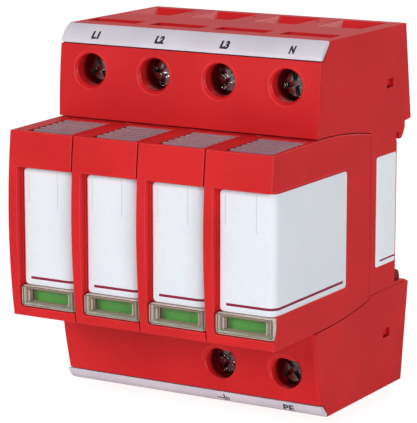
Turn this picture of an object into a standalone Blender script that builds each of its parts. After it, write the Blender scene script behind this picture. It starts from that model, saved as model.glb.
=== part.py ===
"""A four-pole DIN rail surge arrester: a base that clips on a 35 mm rail, and four plug-in modules.

Metres, +Z up. The front faces -Y. The rail lies against the plane y = 0, its middle at z = 0,
and the poles are side by side along X. Every size below is written once, in millimetres times MM.
"""

import math

import bmesh
import bpy
from mathutils import Matrix

MM = 0.001

# Poles and overall size
POLE_COUNT = 4
POLE_PITCH = 18.0 * MM
MODULE_GAP = 0.4 * MM
BASE_HEIGHT = 90.0 * MM
UPPER_BLOCK = 22.6 * MM
LOWER_BLOCK = 21.9 * MM
TOUCH_GAP = 0.3 * MM

# Side outline of the base, y at a named edge
TOP_REAR = 4.2 * MM
REAR_STEP = 7.6 * MM
STRIP_TOP_FRONT = -36.4 * MM
STRIP_LOW_FRONT = -40.3 * MM
STRIP_HEIGHT = 4.3 * MM
UPPER_FRONT = -41.5 * MM
LOWER_FRONT = -42.5 * MM
FOOT_STRIP_FRONT = -38.7 * MM
FOOT_FRONT = -35.7 * MM
FOOT_STRIP_HEIGHT = 3.1 * MM
STRIP_THICKNESS = 0.8 * MM
STRIP_BULGE = 0.6 * MM
FRONT_BULGE = 0.25 * MM

# Rail channel behind the base
RAIL_HALF = 17.5 * MM
RAIL_THICKNESS = 1.0 * MM
RAIL_OVERLAP = 0.8 * MM
HOOK_DEPTH = 4.3 * MM
HOOK_HEIGHT = 4.1 * MM
HOOK_LEAN = 0.3 * MM
HOOK_CHAMFER = 0.9 * MM
HOOK_LEAD = 2.6 * MM
HOOK_BEVEL = 2.0 * MM
HOOK_ROOM = 1.0 * MM
SEAT_RELIEF = 0.3 * MM
FOOT_ROOM = 1.9 * MM
FOOT_STEP = 2.2 * MM

# Walls and chambers of the base
TOP_WALL = 3.5 * MM
SKIN = 2.2 * MM
CHAMBER_WIDTH = 14.8 * MM
END_WALL_REAR = 1.0 * MM
POCKET_FRONT = -36.2 * MM
BAY_REAR = -14.0 * MM
BAY_WALL = 2.0 * MM
BAY_CLEARANCE = 0.3 * MM
COVER_PLATE = 2.0 * MM
COVER_RIM = 2.3 * MM
SNAP_INSET = 13.8 * MM
SNAP_DEPTH = -4.2 * MM
SEAM_HEIGHT = -20.0 * MM
SEAM_WIDTH = 0.3 * MM
SEAM_DEPTH = 0.25 * MM
DIMPLE_DIAMETER = 1.6 * MM
DIMPLE_DEPTH = 0.5 * MM
DIMPLE_SHIFT = -2.6 * MM
DIMPLE_PLACE = -3.4 * MM
LOWER_ROUNDING = 1.0 * MM
SNAP_SIZE = 3.0 * MM
SNAP_RISE = 1.7 * MM
SNAP_ARM = 1.1 * MM
SNAP_REACH = 0.9 * MM

# Wire entries, busbar slots and driver holes
ENTRY_WIDTH = 12.0 * MM
ENTRY_OFFSET = -1.0 * MM
ENTRY_FRONT = -12.6 * MM
ENTRY_REAR = 1.6 * MM
BUS_SLOT_WIDTH = 14.2 * MM
BUS_SLOT_OFFSET = -0.5 * MM
BUS_SLOT_FRONT = -31.0 * MM
BUS_SLOT_DEPTH = 5.4 * MM
DRIVER_HOLE_DIAMETER = 8.0 * MM
DRIVER_RING_DIAMETER = 9.4 * MM
DRIVER_RING_DEPTH = 0.7 * MM
LOWER_TERMINAL_POLES = (2, 3)

# Terminals
TERMINAL_OFFSET = 1.2 * MM
SHEET = 1.5 * MM
CONTACT_WIDTH = 8.0 * MM
CONTACT_END_GAP = 0.3 * MM
HEAD_DIAMETER = 6.8 * MM
HEAD_LENGTH = 3.0 * MM
HEAD_CHAMFER = 0.4 * MM
SHANK_DIAMETER = 4.8 * MM
SHANK_CHAMFER = 0.6 * MM
CAGE_SIDE = 1.2 * MM
CAGE_FRONT_WALL = 2.2 * MM
CAGE_REAR_WALL = 1.3 * MM
CAGE_SHARE = 0.723
CAGE_THROAT = 1.7 * MM
WIRE_SPACE = 6.5 * MM
SLOT_WIDTH = 1.1 * MM
SLOT_DEPTH = 1.3 * MM
SLOT_RIM = 0.5 * MM

# Contact jaws and the blades that plug into them
BLADE_THICKNESS = 1.3 * MM
BLADE_HEIGHT = 6.5 * MM
BLADE_TIP = -5.0 * MM
BLADE_POINT = 0.4 * MM
JAW_ROOM = 2.6 * MM
LEAF = 1.2 * MM
LEAF_FRONT = -10.4 * MM
LEAF_REAR = -4.2 * MM
SHELF_DROP = 3.8 * MM
SHELF_REAR = -3.6 * MM
BUSBAR_DEPTH = 6.2 * MM

# Modules
MODULE_FRONT = -62.0 * MM
FRONT_LEAN = 0.4 * MM
FRONT_BOW = 1.6 * MM
NOSE_DROP = 0.4 * MM
ARC_START = -40.0 * MM
ARC_RADIUS = 140.0 * MM
MODULE_WALL = 1.4 * MM
MODULE_FRONT_WALL = 2.6 * MM
MODULE_ROUNDING = 1.4 * MM
PULLER_HOLE_DIAMETER = 1.4 * MM
PULLER_HOLE_DEPTH = 0.9 * MM
PULLER_HOLE_LEFT = -6.6 * MM
PULLER_HOLE_FRONT = -42.3 * MM
LABEL_LEFT = -6.4 * MM
LABEL_PLANE = -61.2 * MM
LABEL_DROP = 8.9 * MM
LABEL_RISE = 7.9 * MM
LABEL_REAR = -26.0 * MM
LABEL_RECESS = 0.3 * MM
LABEL_CORNER = 2.2 * MM

# Indicator window and flag
LENS_LEFT = -6.4 * MM
LENS_HEIGHT = 5.1 * MM
LENS_FRONT = -62.2 * MM
LENS_REAR = -60.6 * MM
LENS_RIM = 1.2 * MM
LENS_STEP = 0.8 * MM
LENS_STEP_DEPTH = 0.4 * MM
LENS_RIM_SHARE = 0.7
LENS_CORNER = 0.8 * MM
LENS_TURN = 1.0 * MM
LENS_SLANT_WIDTH = 1.4 * MM
LENS_SLANT_HEIGHT = 2.3 * MM
VIEW_LEFT = -4.7 * MM
VIEW_RIGHT = 6.4 * MM
VIEW_DROP = 1.4 * MM
VIEW_HEIGHT = 3.2 * MM
FLAG_THICKNESS = 1.0 * MM
FLAG_SLOT = 1.8 * MM
FLAG_MARGIN = 0.2 * MM
FLAG_ROOM = 1.2 * MM
RIB_THICKNESS = 1.2 * MM
FLAG_LIFT_ROOM = 6.1 * MM

# Release key
KEY_LEFT = -4.6 * MM
KEY_RIGHT = 7.4 * MM
KEY_FRONT = -61.1 * MM
KEY_REAR = -44.4 * MM
KEY_DEPTH = 3.2 * MM
KEY_SINK = 0.5 * MM
KEY_TRAVEL = 3.0 * MM
LEVER_THICKNESS = 1.4 * MM
LEVER_PIVOT = -28.4 * MM
LEVER_PIVOT_DROP = 2.2 * MM
AXLE_DIAMETER = 1.6 * MM
AXLE_SEAT = 0.8 * MM
RIB_COUNT = 6
RIB_WIDTH = 1.3 * MM
RIB_HEIGHT = 0.4 * MM
RIB_FRONT_LAND = 2.2 * MM
RIB_REAR_LAND = 0.5 * MM
TOOTH_FRONT = -40.0 * MM
TOOTH_LENGTH = 2.0 * MM
TOOTH_WIDTH = 5.0 * MM
TOOTH_NOTCH = 1.1 * MM
TOOTH_SWING = 0.4 * MM

# Inner parts of a module
BACK_PLATE = 1.4 * MM
VARISTOR_FRONT = -55.5 * MM
VARISTOR_REAR = -24.0 * MM
VARISTOR_DROP = 7.4 * MM
VARISTOR_RISE = 9.6 * MM
VARISTOR_THICKNESS = 8.4 * MM
VARISTOR_CORNER = 5.0 * MM
VARISTOR_ROUNDING = 0.8 * MM
STRIP_BEND = -19.0 * MM
LINE_STRIP_END = -40.0 * MM
EARTH_STRIP_END = -30.0 * MM
ARM_THICKNESS = 1.0 * MM
ARM_PIVOT = -27.0 * MM
ARM_PIVOT_RISE = 0.8 * MM
ARM_HEEL = 1.9 * MM
ARM_SHOULDER = 1.6 * MM
ARM_BELLY = 1.8 * MM
ARM_TIP = -58.4 * MM
ARM_TIP_LENGTH = 6.0 * MM
ARM_TIP_RISE = 5.3 * MM
ARM_DEPTH = 2.6 * MM
PIVOT_PIN_DIAMETER = 2.0 * MM
SOLDER_PAD_LENGTH = 4.0 * MM
SOLDER_PAD_HEIGHT = 3.0 * MM
SOLDER_PAD_SHIFT = 4.0 * MM

# Rail latch and its spring
LATCH_TRAVEL = 3.0 * MM
TONGUE_WIDTH = 18.0 * MM
TONGUE_THICKNESS = 3.0 * MM
FLANGE_WIDTH = 2.5 * MM
FLANGE_THICKNESS = 1.3 * MM
NOSE_DEPTH = 5.2 * MM
NOSE_HEIGHT = 4.1 * MM
NOSE_ROOT = 0.5 * MM
NOSE_LEAD = 0.6 * MM
NOSE_BEVEL = 1.7 * MM
NOSE_BEVEL_DROP = 0.7 * MM
NOSE_EDGE = 0.5 * MM
NOSE_EDGE_DROP = 1.9 * MM
SPRING_RADIUS = 1.35 * MM
SPRING_WIRE = 0.5 * MM
SPRING_TURNS = 5
SPRING_ROOM = 1.0 * MM
WINDOW_START_SHARE = 0.28
WINDOW_SHARE = 0.46
WINDOW_WIDTH = 5.6 * MM
LUG_SHARE = 0.264
GRIP_WIDTH = 6.0 * MM
GRIP_EDGE = 1.0 * MM

# Values worked out from the sizes above
HALF_HEIGHT = BASE_HEIGHT / 2
HALF_WIDTH = (POLE_COUNT * POLE_PITCH - MODULE_GAP) / 2
MODULE_HALF_WIDTH = (POLE_PITCH - MODULE_GAP) / 2
MODULE_TOP = HALF_HEIGHT - UPPER_BLOCK
MODULE_BOTTOM = LOWER_BLOCK - HALF_HEIGHT
MODULE_REAR = BAY_REAR - BAY_CLEARANCE
POCKET_END = HALF_HEIGHT - TOP_WALL
POCKET_START = MODULE_TOP + BAY_CLEARANCE + SKIN
TERMINAL_HEIGHT = (POCKET_START + POCKET_END) / 2 + TERMINAL_OFFSET
CAGE_LENGTH = (POCKET_END - POCKET_START) * CAGE_SHARE
SNAP_HEIGHT = HALF_HEIGHT - SNAP_INSET
CHANNEL_TOP = RAIL_HALF - RAIL_OVERLAP + HOOK_HEIGHT
CHANNEL_BOTTOM = -RAIL_HALF - FOOT_ROOM
CHAMBER_HALF = CHAMBER_WIDTH / 2
CHAMBER_FRONT = BAY_REAR + BAY_WALL
COVER_HALF = HALF_WIDTH - END_WALL_REAR - TOUCH_GAP
CONTACT_FRONT = CHAMBER_FRONT + TOUCH_GAP
CONTACT_REAR = CONTACT_FRONT + SHEET
CONTACT_END = POCKET_END - CONTACT_END_GAP
SHELF_LOW = MODULE_TOP - SHELF_DROP
BLADE_HIGH = SHELF_LOW - JAW_ROOM
BLADE_LOW = BLADE_HIGH - BLADE_HEIGHT
INSIDE_HALF = MODULE_HALF_WIDTH - MODULE_WALL
FRONT_INSIDE = MODULE_FRONT + MODULE_FRONT_WALL
LABEL_TOP = MODULE_TOP - LABEL_DROP
LABEL_BOTTOM = MODULE_BOTTOM + LABEL_RISE
VIEW_TOP = LABEL_BOTTOM - VIEW_DROP
VIEW_BOTTOM = VIEW_TOP - VIEW_HEIGHT
RIB_TOP = VIEW_TOP + FLAG_LIFT_ROOM
VARISTOR_TOP = MODULE_TOP - VARISTOR_DROP
VARISTOR_BOTTOM = MODULE_BOTTOM + VARISTOR_RISE
ARM_PIVOT_HEIGHT = VARISTOR_BOTTOM + ARM_PIVOT_RISE
ARM_TIP_TOP = MODULE_BOTTOM + ARM_TIP_RISE
RAIL_LIP = RAIL_HALF - RAIL_OVERLAP
SEAT_HALF = RAIL_LIP - TOUCH_GAP
NOSE_BASE = -RAIL_LIP - NOSE_HEIGHT
TONGUE_END = -HALF_HEIGHT + TOUCH_GAP
TONGUE_LENGTH = NOSE_BASE - TONGUE_END
WINDOW_TOP = NOSE_BASE - TONGUE_LENGTH * WINDOW_START_SHARE
WINDOW_LENGTH = TONGUE_LENGTH * WINDOW_SHARE
LUG_LENGTH = WINDOW_LENGTH * LUG_SHARE
SPRING_LENGTH = WINDOW_LENGTH - LUG_LENGTH - SPRING_ROOM
FAR = 20.0 * MM
PAST = 1.0 * MM
OVERLAP = 0.1 * MM

PARTS = "din_rail_surge_arrester"
CUTTERS = "cutters"


def clear_scene():
    for item in list(bpy.data.objects):
        bpy.data.objects.remove(item, do_unlink=True)


def make_collection(name, helper=False):
    collection = bpy.data.collections.new(name)
    collection.hide_render = helper
    bpy.context.scene.collection.children.link(collection)
    return collection


def add(name, mesh):
    """A working object. It counts as a cutter until it is placed as a part."""
    item = bpy.data.objects.new(name, mesh)
    item.hide_render = True
    item.display_type = "WIRE"
    bpy.data.collections[CUTTERS].objects.link(item)
    return item


def box(name, x, y, z):
    """A box between a low and a high value on each axis."""
    mesh = bpy.data.meshes.new(name)
    shape = bmesh.new()
    bmesh.ops.create_cube(shape, size=1)
    bmesh.ops.scale(shape, vec=(x[1] - x[0], y[1] - y[0], z[1] - z[0]), verts=shape.verts)
    middle = ((x[0] + x[1]) / 2, (y[0] + y[1]) / 2, (z[0] + z[1]) / 2)
    bmesh.ops.translate(shape, vec=middle, verts=shape.verts)
    shape.to_mesh(mesh)
    shape.free()
    return add(name, mesh)


def standing(axis):
    """Turns local Z to the given axis, with the outline's plane across it."""
    if axis == "X":
        return Matrix(((0, 0, 1), (1, 0, 0), (0, 1, 0))).to_4x4()
    if axis == "Y":
        return Matrix.Rotation(math.radians(90), 4, "X")
    return Matrix.Identity(4)


def along(axis, distance):
    return Matrix.Translation([distance * (axis == letter) for letter in "XYZ"])


def prism(name, outline, span, axis="X"):
    """A flat outline extruded between two values. Its points are (y, z), (x, z) or (x, y)."""
    curve = bpy.data.curves.new(name, "CURVE")
    curve.dimensions = "2D"
    curve.fill_mode = "BOTH"
    curve.extrude = (span[1] - span[0]) / 2
    spline = curve.splines.new("POLY")
    spline.points.add(len(outline) - 1)
    for point, (across, up) in zip(spline.points, outline):
        point.co = (across, up, 0, 1)
    spline.use_cyclic_u = True
    flat = bpy.data.objects.new(name + "_outline", curve)
    bpy.data.collections[CUTTERS].objects.link(flat)
    mesh = solid_of(flat)
    bpy.data.objects.remove(flat)
    mesh.transform(along(axis, (span[0] + span[1]) / 2) @ standing(axis))
    return add(name, mesh)


def solid_of(item):
    """The evaluated shape of an object as a closed mesh with its faces pointing out."""
    bpy.context.view_layer.update()
    graph = bpy.context.evaluated_depsgraph_get()
    mesh = bpy.data.meshes.new_from_object(item.evaluated_get(graph))
    mesh.transform(item.matrix_world)
    shape = bmesh.new()
    shape.from_mesh(mesh)
    bmesh.ops.remove_doubles(shape, verts=shape.verts, dist=0.002 * MM)
    bmesh.ops.recalc_face_normals(shape, faces=shape.faces)
    shape.to_mesh(mesh)
    shape.free()
    return mesh


def rod(name, diameter, span, axis, place, end_diameter=None, sides=24):
    """A cylinder or cone along an axis between two values; place is its centre on all axes."""
    mesh = bpy.data.meshes.new(name)
    shape = bmesh.new()
    last = diameter if end_diameter is None else end_diameter
    bmesh.ops.create_cone(
        shape,
        cap_ends=True,
        segments=sides,
        radius1=diameter / 2,
        radius2=last / 2,
        depth=span[1] - span[0],
    )
    turn = Matrix.Rotation(math.radians(-90), 4, "X") if axis == "Y" else standing(axis)
    bmesh.ops.transform(shape, matrix=turn, verts=shape.verts)
    middle = Matrix.Translation(place) @ along(axis, (span[0] + span[1]) / 2)
    bmesh.ops.transform(shape, matrix=middle, verts=shape.verts)
    shape.to_mesh(mesh)
    shape.free()
    return add(name, mesh)


def bow(start, end, bulge, steps=6):
    """Points from start to end on a shallow arc that stands out to the left by bulge."""
    across = (end[0] - start[0], end[1] - start[1])
    length = math.hypot(across[0], across[1])
    left = (-across[1] / length, across[0] / length)
    points = []
    for step in range(steps + 1):
        share = step / steps
        out = bulge * 4 * share * (1 - share)
        points.append(
            (
                start[0] + across[0] * share + left[0] * out,
                start[1] + across[1] * share + left[1] * out,
            )
        )
    return points


def round_corner(centre, radius, first, last, steps=5):
    """Points on an arc about centre, from one angle in degrees to another."""
    points = []
    for step in range(steps + 1):
        angle = math.radians(first + (last - first) * step / steps)
        points.append((centre[0] + radius * math.cos(angle), centre[1] + radius * math.sin(angle)))
    return points


def boolean(piece, other, operation):
    modifier = piece.modifiers.new(other.name, "BOOLEAN")
    modifier.operation = operation
    modifier.solver = "EXACT"
    modifier.object = other


def cut(piece, *cutters):
    for cutter in cutters:
        boolean(piece, cutter, "DIFFERENCE")


def fuse(piece, *others):
    for other in others:
        boolean(piece, other, "UNION")


def round_edges(piece, width, segments=2, angle=50):
    modifier = piece.modifiers.new("rounding", "BEVEL")
    modifier.width = width
    modifier.segments = segments
    modifier.limit_method = "ANGLE"
    modifier.angle_limit = math.radians(angle)


def finished(piece, pivot=(0, 0, 0)):
    """The piece's mesh with its modifiers in it, and its origin moved to the pivot."""
    mesh = solid_of(piece)
    mesh.transform(Matrix.Translation([-value for value in pivot]))
    return mesh


def material(name, colour, roughness, metallic=0.0, alpha=1.0):
    finish = bpy.data.materials.new(name)
    finish.use_nodes = True
    shader = finish.node_tree.nodes["Principled BSDF"]
    shader.inputs["Base Color"].default_value = (*colour, 1)
    shader.inputs["Roughness"].default_value = roughness
    shader.inputs["Metallic"].default_value = metallic
    shader.inputs["Alpha"].default_value = alpha
    finish.diffuse_color = (*colour, alpha)
    return finish


def place(name, mesh, finish, at=(0, 0, 0), parent=None):
    """A part of the object: its own object, with a mesh that copies may share."""
    if not mesh.materials:
        mesh.materials.append(finish)
    item = bpy.data.objects.new(name, mesh)
    bpy.data.collections[PARTS].objects.link(item)
    item.location = at
    if parent:
        item.parent = parent
        item.location = [value - base for value, base in zip(at, parent.location)]
    mesh.shade_smooth()
    mesh.set_sharp_from_angle(angle=math.radians(35))
    return item


def pole_x(pole):
    return (pole - (POLE_COUNT - 1) / 2) * POLE_PITCH


def poles():
    return [pole_x(pole) for pole in range(POLE_COUNT)]


def span_about(centre, width):
    return (centre - width / 2, centre + width / 2)


# Outlines seen from the side, as (y, z)


def module_drop(y):
    """How far the module's top and bottom edges curve in towards the rail."""
    return max(0, y - ARC_START) ** 2 / (2 * ARC_RADIUS)


def module_arc(steps=6):
    length = MODULE_REAR - ARC_START
    return [ARC_START + length * step / steps for step in range(steps + 1)]


def module_outline():
    top = [(y, MODULE_TOP - module_drop(y)) for y in reversed(module_arc())]
    nose_top = (MODULE_FRONT - FRONT_LEAN, MODULE_TOP - NOSE_DROP)
    nose = bow(nose_top, (MODULE_FRONT, MODULE_BOTTOM), -FRONT_BOW, steps=10)
    bottom = [(y, MODULE_BOTTOM + module_drop(y)) for y in module_arc()]
    return top + nose + bottom


def bay_arc(edge, inward):
    """The bay's ceiling or floor, a running clearance off the module."""
    ys = [BAY_REAR] + [y for y in reversed(module_arc()) if y < BAY_REAR]
    return [(y, edge + inward * module_drop(y) - inward * BAY_CLEARANCE) for y in ys]


def hook_outline():
    """The fixed hook over the rail's upper edge, from the rear step down to the seat.

    Above the hook's lip the seat steps back a little, so that a rail lies on its flat part.
    """
    slot = RAIL_THICKNESS + TOUCH_GAP
    return [
        (REAR_STEP, CHANNEL_TOP + HOOK_LEAN),
        (HOOK_DEPTH, CHANNEL_TOP),
        (HOOK_DEPTH, RAIL_LIP + HOOK_LEAD),
        (HOOK_DEPTH - HOOK_CHAMFER, RAIL_LIP + HOOK_CHAMFER),
        (HOOK_DEPTH - HOOK_BEVEL, RAIL_LIP),
        (slot, RAIL_LIP),
        (slot, RAIL_HALF + HOOK_ROOM),
        (-SEAT_RELIEF, RAIL_HALF + HOOK_ROOM),
        (-SEAT_RELIEF, SEAT_HALF),
        (0, SEAT_HALF),
    ]


def foot_outline():
    """From the seat down round the lower block's rear corner."""
    return [
        (0, -SEAT_HALF),
        (-SEAT_RELIEF, -SEAT_HALF),
        (-SEAT_RELIEF, CHANNEL_BOTTOM),
        (REAR_STEP - FOOT_STEP, CHANNEL_BOTTOM),
        (REAR_STEP, CHANNEL_BOTTOM - HOOK_CHAMFER),
    ]


def base_outline():
    front_gap = STRIP_THICKNESS + TOUCH_GAP
    strip_low = HALF_HEIGHT - STRIP_HEIGHT - TOUCH_GAP
    foot_high = -HALF_HEIGHT + FOOT_STRIP_HEIGHT + TOUCH_GAP
    upper = [
        (TOP_REAR, HALF_HEIGHT),
        (STRIP_TOP_FRONT + TOUCH_GAP, HALF_HEIGHT),
        (STRIP_TOP_FRONT + TOUCH_GAP, HALF_HEIGHT - front_gap),
        (STRIP_LOW_FRONT + front_gap, strip_low),
    ]
    bay_top = bay_arc(MODULE_TOP, -1)
    bay_floor = bay_arc(MODULE_BOTTOM, 1)
    upper += bow((STRIP_LOW_FRONT, strip_low), (UPPER_FRONT, bay_top[-1][1]), -FRONT_BULGE, steps=4)
    middle = list(reversed(bay_top)) + bay_floor
    lower = bow((LOWER_FRONT, bay_floor[-1][1]), (FOOT_STRIP_FRONT, foot_high), -FRONT_BULGE, steps=4)
    lower += [
        (FOOT_STRIP_FRONT + front_gap, foot_high),
        (FOOT_FRONT + TOUCH_GAP, -HALF_HEIGHT + front_gap),
        (FOOT_FRONT + TOUCH_GAP, -HALF_HEIGHT),
        (TOP_REAR, -HALF_HEIGHT),
    ]
    return upper + middle + lower + list(reversed(foot_outline())) + list(reversed(hook_outline()))


def strip_outline(low_front, high_front, height, side):
    """A marking strip's section. side is 1 for the top strip and -1 for the bottom one."""
    edge = side * HALF_HEIGHT
    low = edge - side * height
    outer = bow((high_front, edge), (low_front, low), -side * STRIP_BULGE, steps=6)
    return outer + [(low_front + STRIP_THICKNESS, low), (high_front, edge - side * STRIP_THICKNESS)]


def rear_line(z):
    """The rear face's y at a height above or below the rail channel."""
    start = CHANNEL_TOP if z > 0 else -CHANNEL_BOTTOM
    share = (abs(z) - start) / (HALF_HEIGHT - start)
    return REAR_STEP + (TOP_REAR - REAR_STEP) * share


def cover_inside(gap):
    """The rear cover's front side, from top to bottom, moved forward by a gap."""
    top = HALF_HEIGHT - COVER_RIM + gap
    step = CHANNEL_TOP + SKIN
    return [
        (rear_line(top) - COVER_PLATE - gap, top),
        (REAR_STEP - COVER_PLATE - gap, step + gap),
        (-COVER_PLATE - gap, step + gap),
        (-COVER_PLATE - gap, -top),
    ]


def cover_outline():
    top = HALF_HEIGHT - COVER_RIM
    outside = [(rear_line(-top), -top)] + list(reversed(foot_outline())) + list(reversed(hook_outline()))
    outside.append((rear_line(top), top))
    return cover_inside(0) + outside


# The base


def funnel(name, x, side):
    """A wire entry: wide at the housing's face, narrowing to the clamp's throat."""
    wide = span_about(x + ENTRY_OFFSET, ENTRY_WIDTH)
    throat = (x - CONTACT_WIDTH / 2, x + CONTACT_WIDTH / 2)
    throat_y = (CONTACT_REAR + OVERLAP, CONTACT_REAR + WIRE_SPACE)
    outer = HALF_HEIGHT
    inner = POCKET_END
    item = box(name, (0, 1), (0, 1), (0, 1))
    for corner in item.data.vertices:
        right, rear, high = (value > 0.5 for value in corner.co)
        xs, ys = (wide, (ENTRY_FRONT, ENTRY_REAR)) if high else (throat, throat_y)
        growth = 1 + OVERLAP / TOP_WALL
        height = outer if high else inner
        corner.co = (xs[right], ys[rear], side * (inner + (height - inner) * growth - OVERLAP * (not high)))
    if side < 0:
        item.data.flip_normals()
    return item


def chamber(name, x):
    """One pole's chamber: a pocket in each block, joined behind the bay and open to the rear."""
    top = POCKET_END
    bay_top = POCKET_START
    bay_low = MODULE_BOTTOM - BAY_CLEARANCE - SKIN
    outline = [
        (FAR, top),
        (POCKET_FRONT, top),
        (POCKET_FRONT, bay_top),
        (CHAMBER_FRONT, bay_top),
        (CHAMBER_FRONT, bay_low),
        (POCKET_FRONT, bay_low),
        (POCKET_FRONT, -top),
        (FAR, -top),
    ]
    return prism(name, outline, (x - CHAMBER_HALF, x + CHAMBER_HALF))


def front_y(side):
    """The front face's y at the height of the screws."""
    if side > 0:
        return UPPER_FRONT + 2 * FRONT_BULGE
    low = MODULE_BOTTOM - BAY_CLEARANCE
    share = (low + TERMINAL_HEIGHT) / (low + HALF_HEIGHT - FOOT_STRIP_HEIGHT)
    return LOWER_FRONT + (FOOT_STRIP_FRONT - LOWER_FRONT) * share - FRONT_BULGE


def driver_hole(name, x, side):
    """The round hole to a clamp screw, with a shallow cone at its mouth."""
    centre = (x, 0, side * TERMINAL_HEIGHT)
    face = front_y(side)
    hole = rod(name, DRIVER_HOLE_DIAMETER, (face - FAR, POCKET_FRONT + PAST), "Y", centre)
    mouth = rod(
        name + "_ring",
        DRIVER_RING_DIAMETER + 2 * DRIVER_RING_DEPTH,
        (face - DRIVER_RING_DEPTH, face + DRIVER_RING_DEPTH),
        "Y",
        centre,
        end_diameter=DRIVER_RING_DIAMETER - 2 * DRIVER_RING_DEPTH,
    )
    return [hole, mouth]


def terminal_places():
    """Each terminal as (pole's x, side): 1 for the top block and -1 for the bottom one."""
    top = [(x, 1) for x in poles()]
    bottom = [(pole_x(pole), -1) for pole in LOWER_TERMINAL_POLES]
    return top + bottom


def make_base_housing(red):
    housing = prism("base_shape", base_outline(), (-HALF_WIDTH, HALF_WIDTH))
    round_lower_corners(housing)
    for number, x in enumerate(poles(), 1):
        cut(housing, chamber(f"chamber_{number}", x))
        blade_x = span_about(x, BLADE_THICKNESS + 2 * TOUCH_GAP)
        through = (BAY_REAR - PAST, CHAMBER_FRONT + PAST)
        low = BLADE_LOW - TOUCH_GAP
        high = BLADE_HIGH + TOUCH_GAP
        cut(housing, box(f"line_slot_{number}", blade_x, through, (low, high)))
        cut(housing, box(f"earth_slot_{number}", blade_x, through, (-high, -low)))
        notch_x = span_about(x + (KEY_LEFT + KEY_RIGHT) / 2, TOOTH_WIDTH + 4 * TOUCH_GAP)
        notch_y = (TOOTH_FRONT - TOUCH_GAP, TOOTH_FRONT + TOOTH_LENGTH + TOUCH_GAP)
        notch_z = (MODULE_TOP - PAST, MODULE_TOP + BAY_CLEARANCE + TOOTH_NOTCH)
        cut(housing, box(f"latch_notch_{number}", notch_x, notch_y, notch_z))
    for number, (x, side) in enumerate(terminal_places(), 1):
        cut(housing, funnel(f"wire_entry_{number}", x, side))
        slot_x = span_about(x + BUS_SLOT_OFFSET, BUS_SLOT_WIDTH)
        slot_y = (BUS_SLOT_FRONT, BUS_SLOT_FRONT + BUS_SLOT_DEPTH)
        slot_z = sorted((side * (HALF_HEIGHT - TOP_WALL - OVERLAP), side * (HALF_HEIGHT + PAST)))
        cut(housing, box(f"busbar_slot_{number}", slot_x, slot_y, slot_z))
        cut(housing, *driver_hole(f"driver_hole_{number}", x, side))
    cut(housing, cover_space(), busbar_space(), tongue_notch(), *snap_windows(), *seam_grooves(), *top_dimples())
    return place("base_housing", finished(housing), red)


def round_lower_corners(housing):
    """Rounds the two upright front edges of the lower block."""
    low = -HALF_HEIGHT + FOOT_STRIP_HEIGHT
    high = MODULE_BOTTOM
    rear = FOOT_STRIP_FRONT + TOUCH_GAP
    shape = bmesh.new()
    shape.from_mesh(housing.data)
    edges = [
        edge
        for edge in shape.edges
        if all(low < vertex.co.z < high and vertex.co.y < rear for vertex in edge.verts)
        and abs(edge.verts[0].co.x - edge.verts[1].co.x) < OVERLAP
    ]
    bmesh.ops.bevel(shape, geom=edges, offset=LOWER_ROUNDING, segments=3, profile=0.5, affect="EDGES")
    shape.to_mesh(housing.data)
    shape.free()


def seam_grooves():
    """The fine line that runs back along each end wall, level with the lower block's top."""
    grooves = []
    for side in (-1, 1):
        across = sorted((side * (HALF_WIDTH - SEAM_DEPTH), side * (HALF_WIDTH + PAST)))
        grooves.append(box(f"seam_{side}", across, (BAY_REAR - BAY_CLEARANCE, FAR), span_about(SEAM_HEIGHT, SEAM_WIDTH)))
    return grooves


def top_dimples():
    """Shallow round marks in the top, one between each two wire entries."""
    height = (HALF_HEIGHT - DIMPLE_DEPTH, HALF_HEIGHT + PAST)
    between = [(left + right) / 2 for left, right in zip(poles(), poles()[1:])]
    return [
        rod(f"dimple_{number}", DIMPLE_DIAMETER, height, "Z", (x + DIMPLE_SHIFT, DIMPLE_PLACE, 0), sides=16)
        for number, x in enumerate(between, 1)
    ]


def cover_space():
    """The rear of the housing between its two end walls, where the cover goes."""
    inside = cover_inside(TOUCH_GAP)
    outline = inside + [(FAR, inside[-1][1]), (FAR, inside[0][1])]
    half = HALF_WIDTH - END_WALL_REAR
    return prism("cover_space", outline, (-half, half))


def busbar_space():
    """A slot through the walls between the poles for the earth busbar."""
    reach = poles()[-1]
    y = (CHAMBER_FRONT - OVERLAP, CONTACT_REAR + TOUCH_GAP)
    z = (-SHELF_LOW - BUSBAR_DEPTH - TOUCH_GAP, -SHELF_LOW + TOUCH_GAP)
    return box("busbar_space", (-reach, reach), y, z)


def tongue_notch():
    """Where the latch's tongue comes out through the bottom wall."""
    half = TONGUE_WIDTH / 2 + FLANGE_WIDTH + 2 * TOUCH_GAP
    return box("tongue_notch", (-half, half), (0, FAR), (-HALF_HEIGHT - PAST, -HALF_HEIGHT + TOP_WALL))


def snap_windows():
    """Square windows in the end walls, where the cover's lugs show."""
    size = SNAP_SIZE + 2 * TOUCH_GAP
    rise = SNAP_RISE + 2 * TOUCH_GAP
    windows = []
    for x in (-1, 1):
        for z in (-1, 1):
            across = sorted((x * (HALF_WIDTH - SNAP_SIZE), x * (HALF_WIDTH + PAST)))
            height = span_about(z * SNAP_HEIGHT, rise)
            windows.append(box(f"snap_window_{x}_{z}", across, span_about(SNAP_DEPTH, size), height))
    return windows


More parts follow.
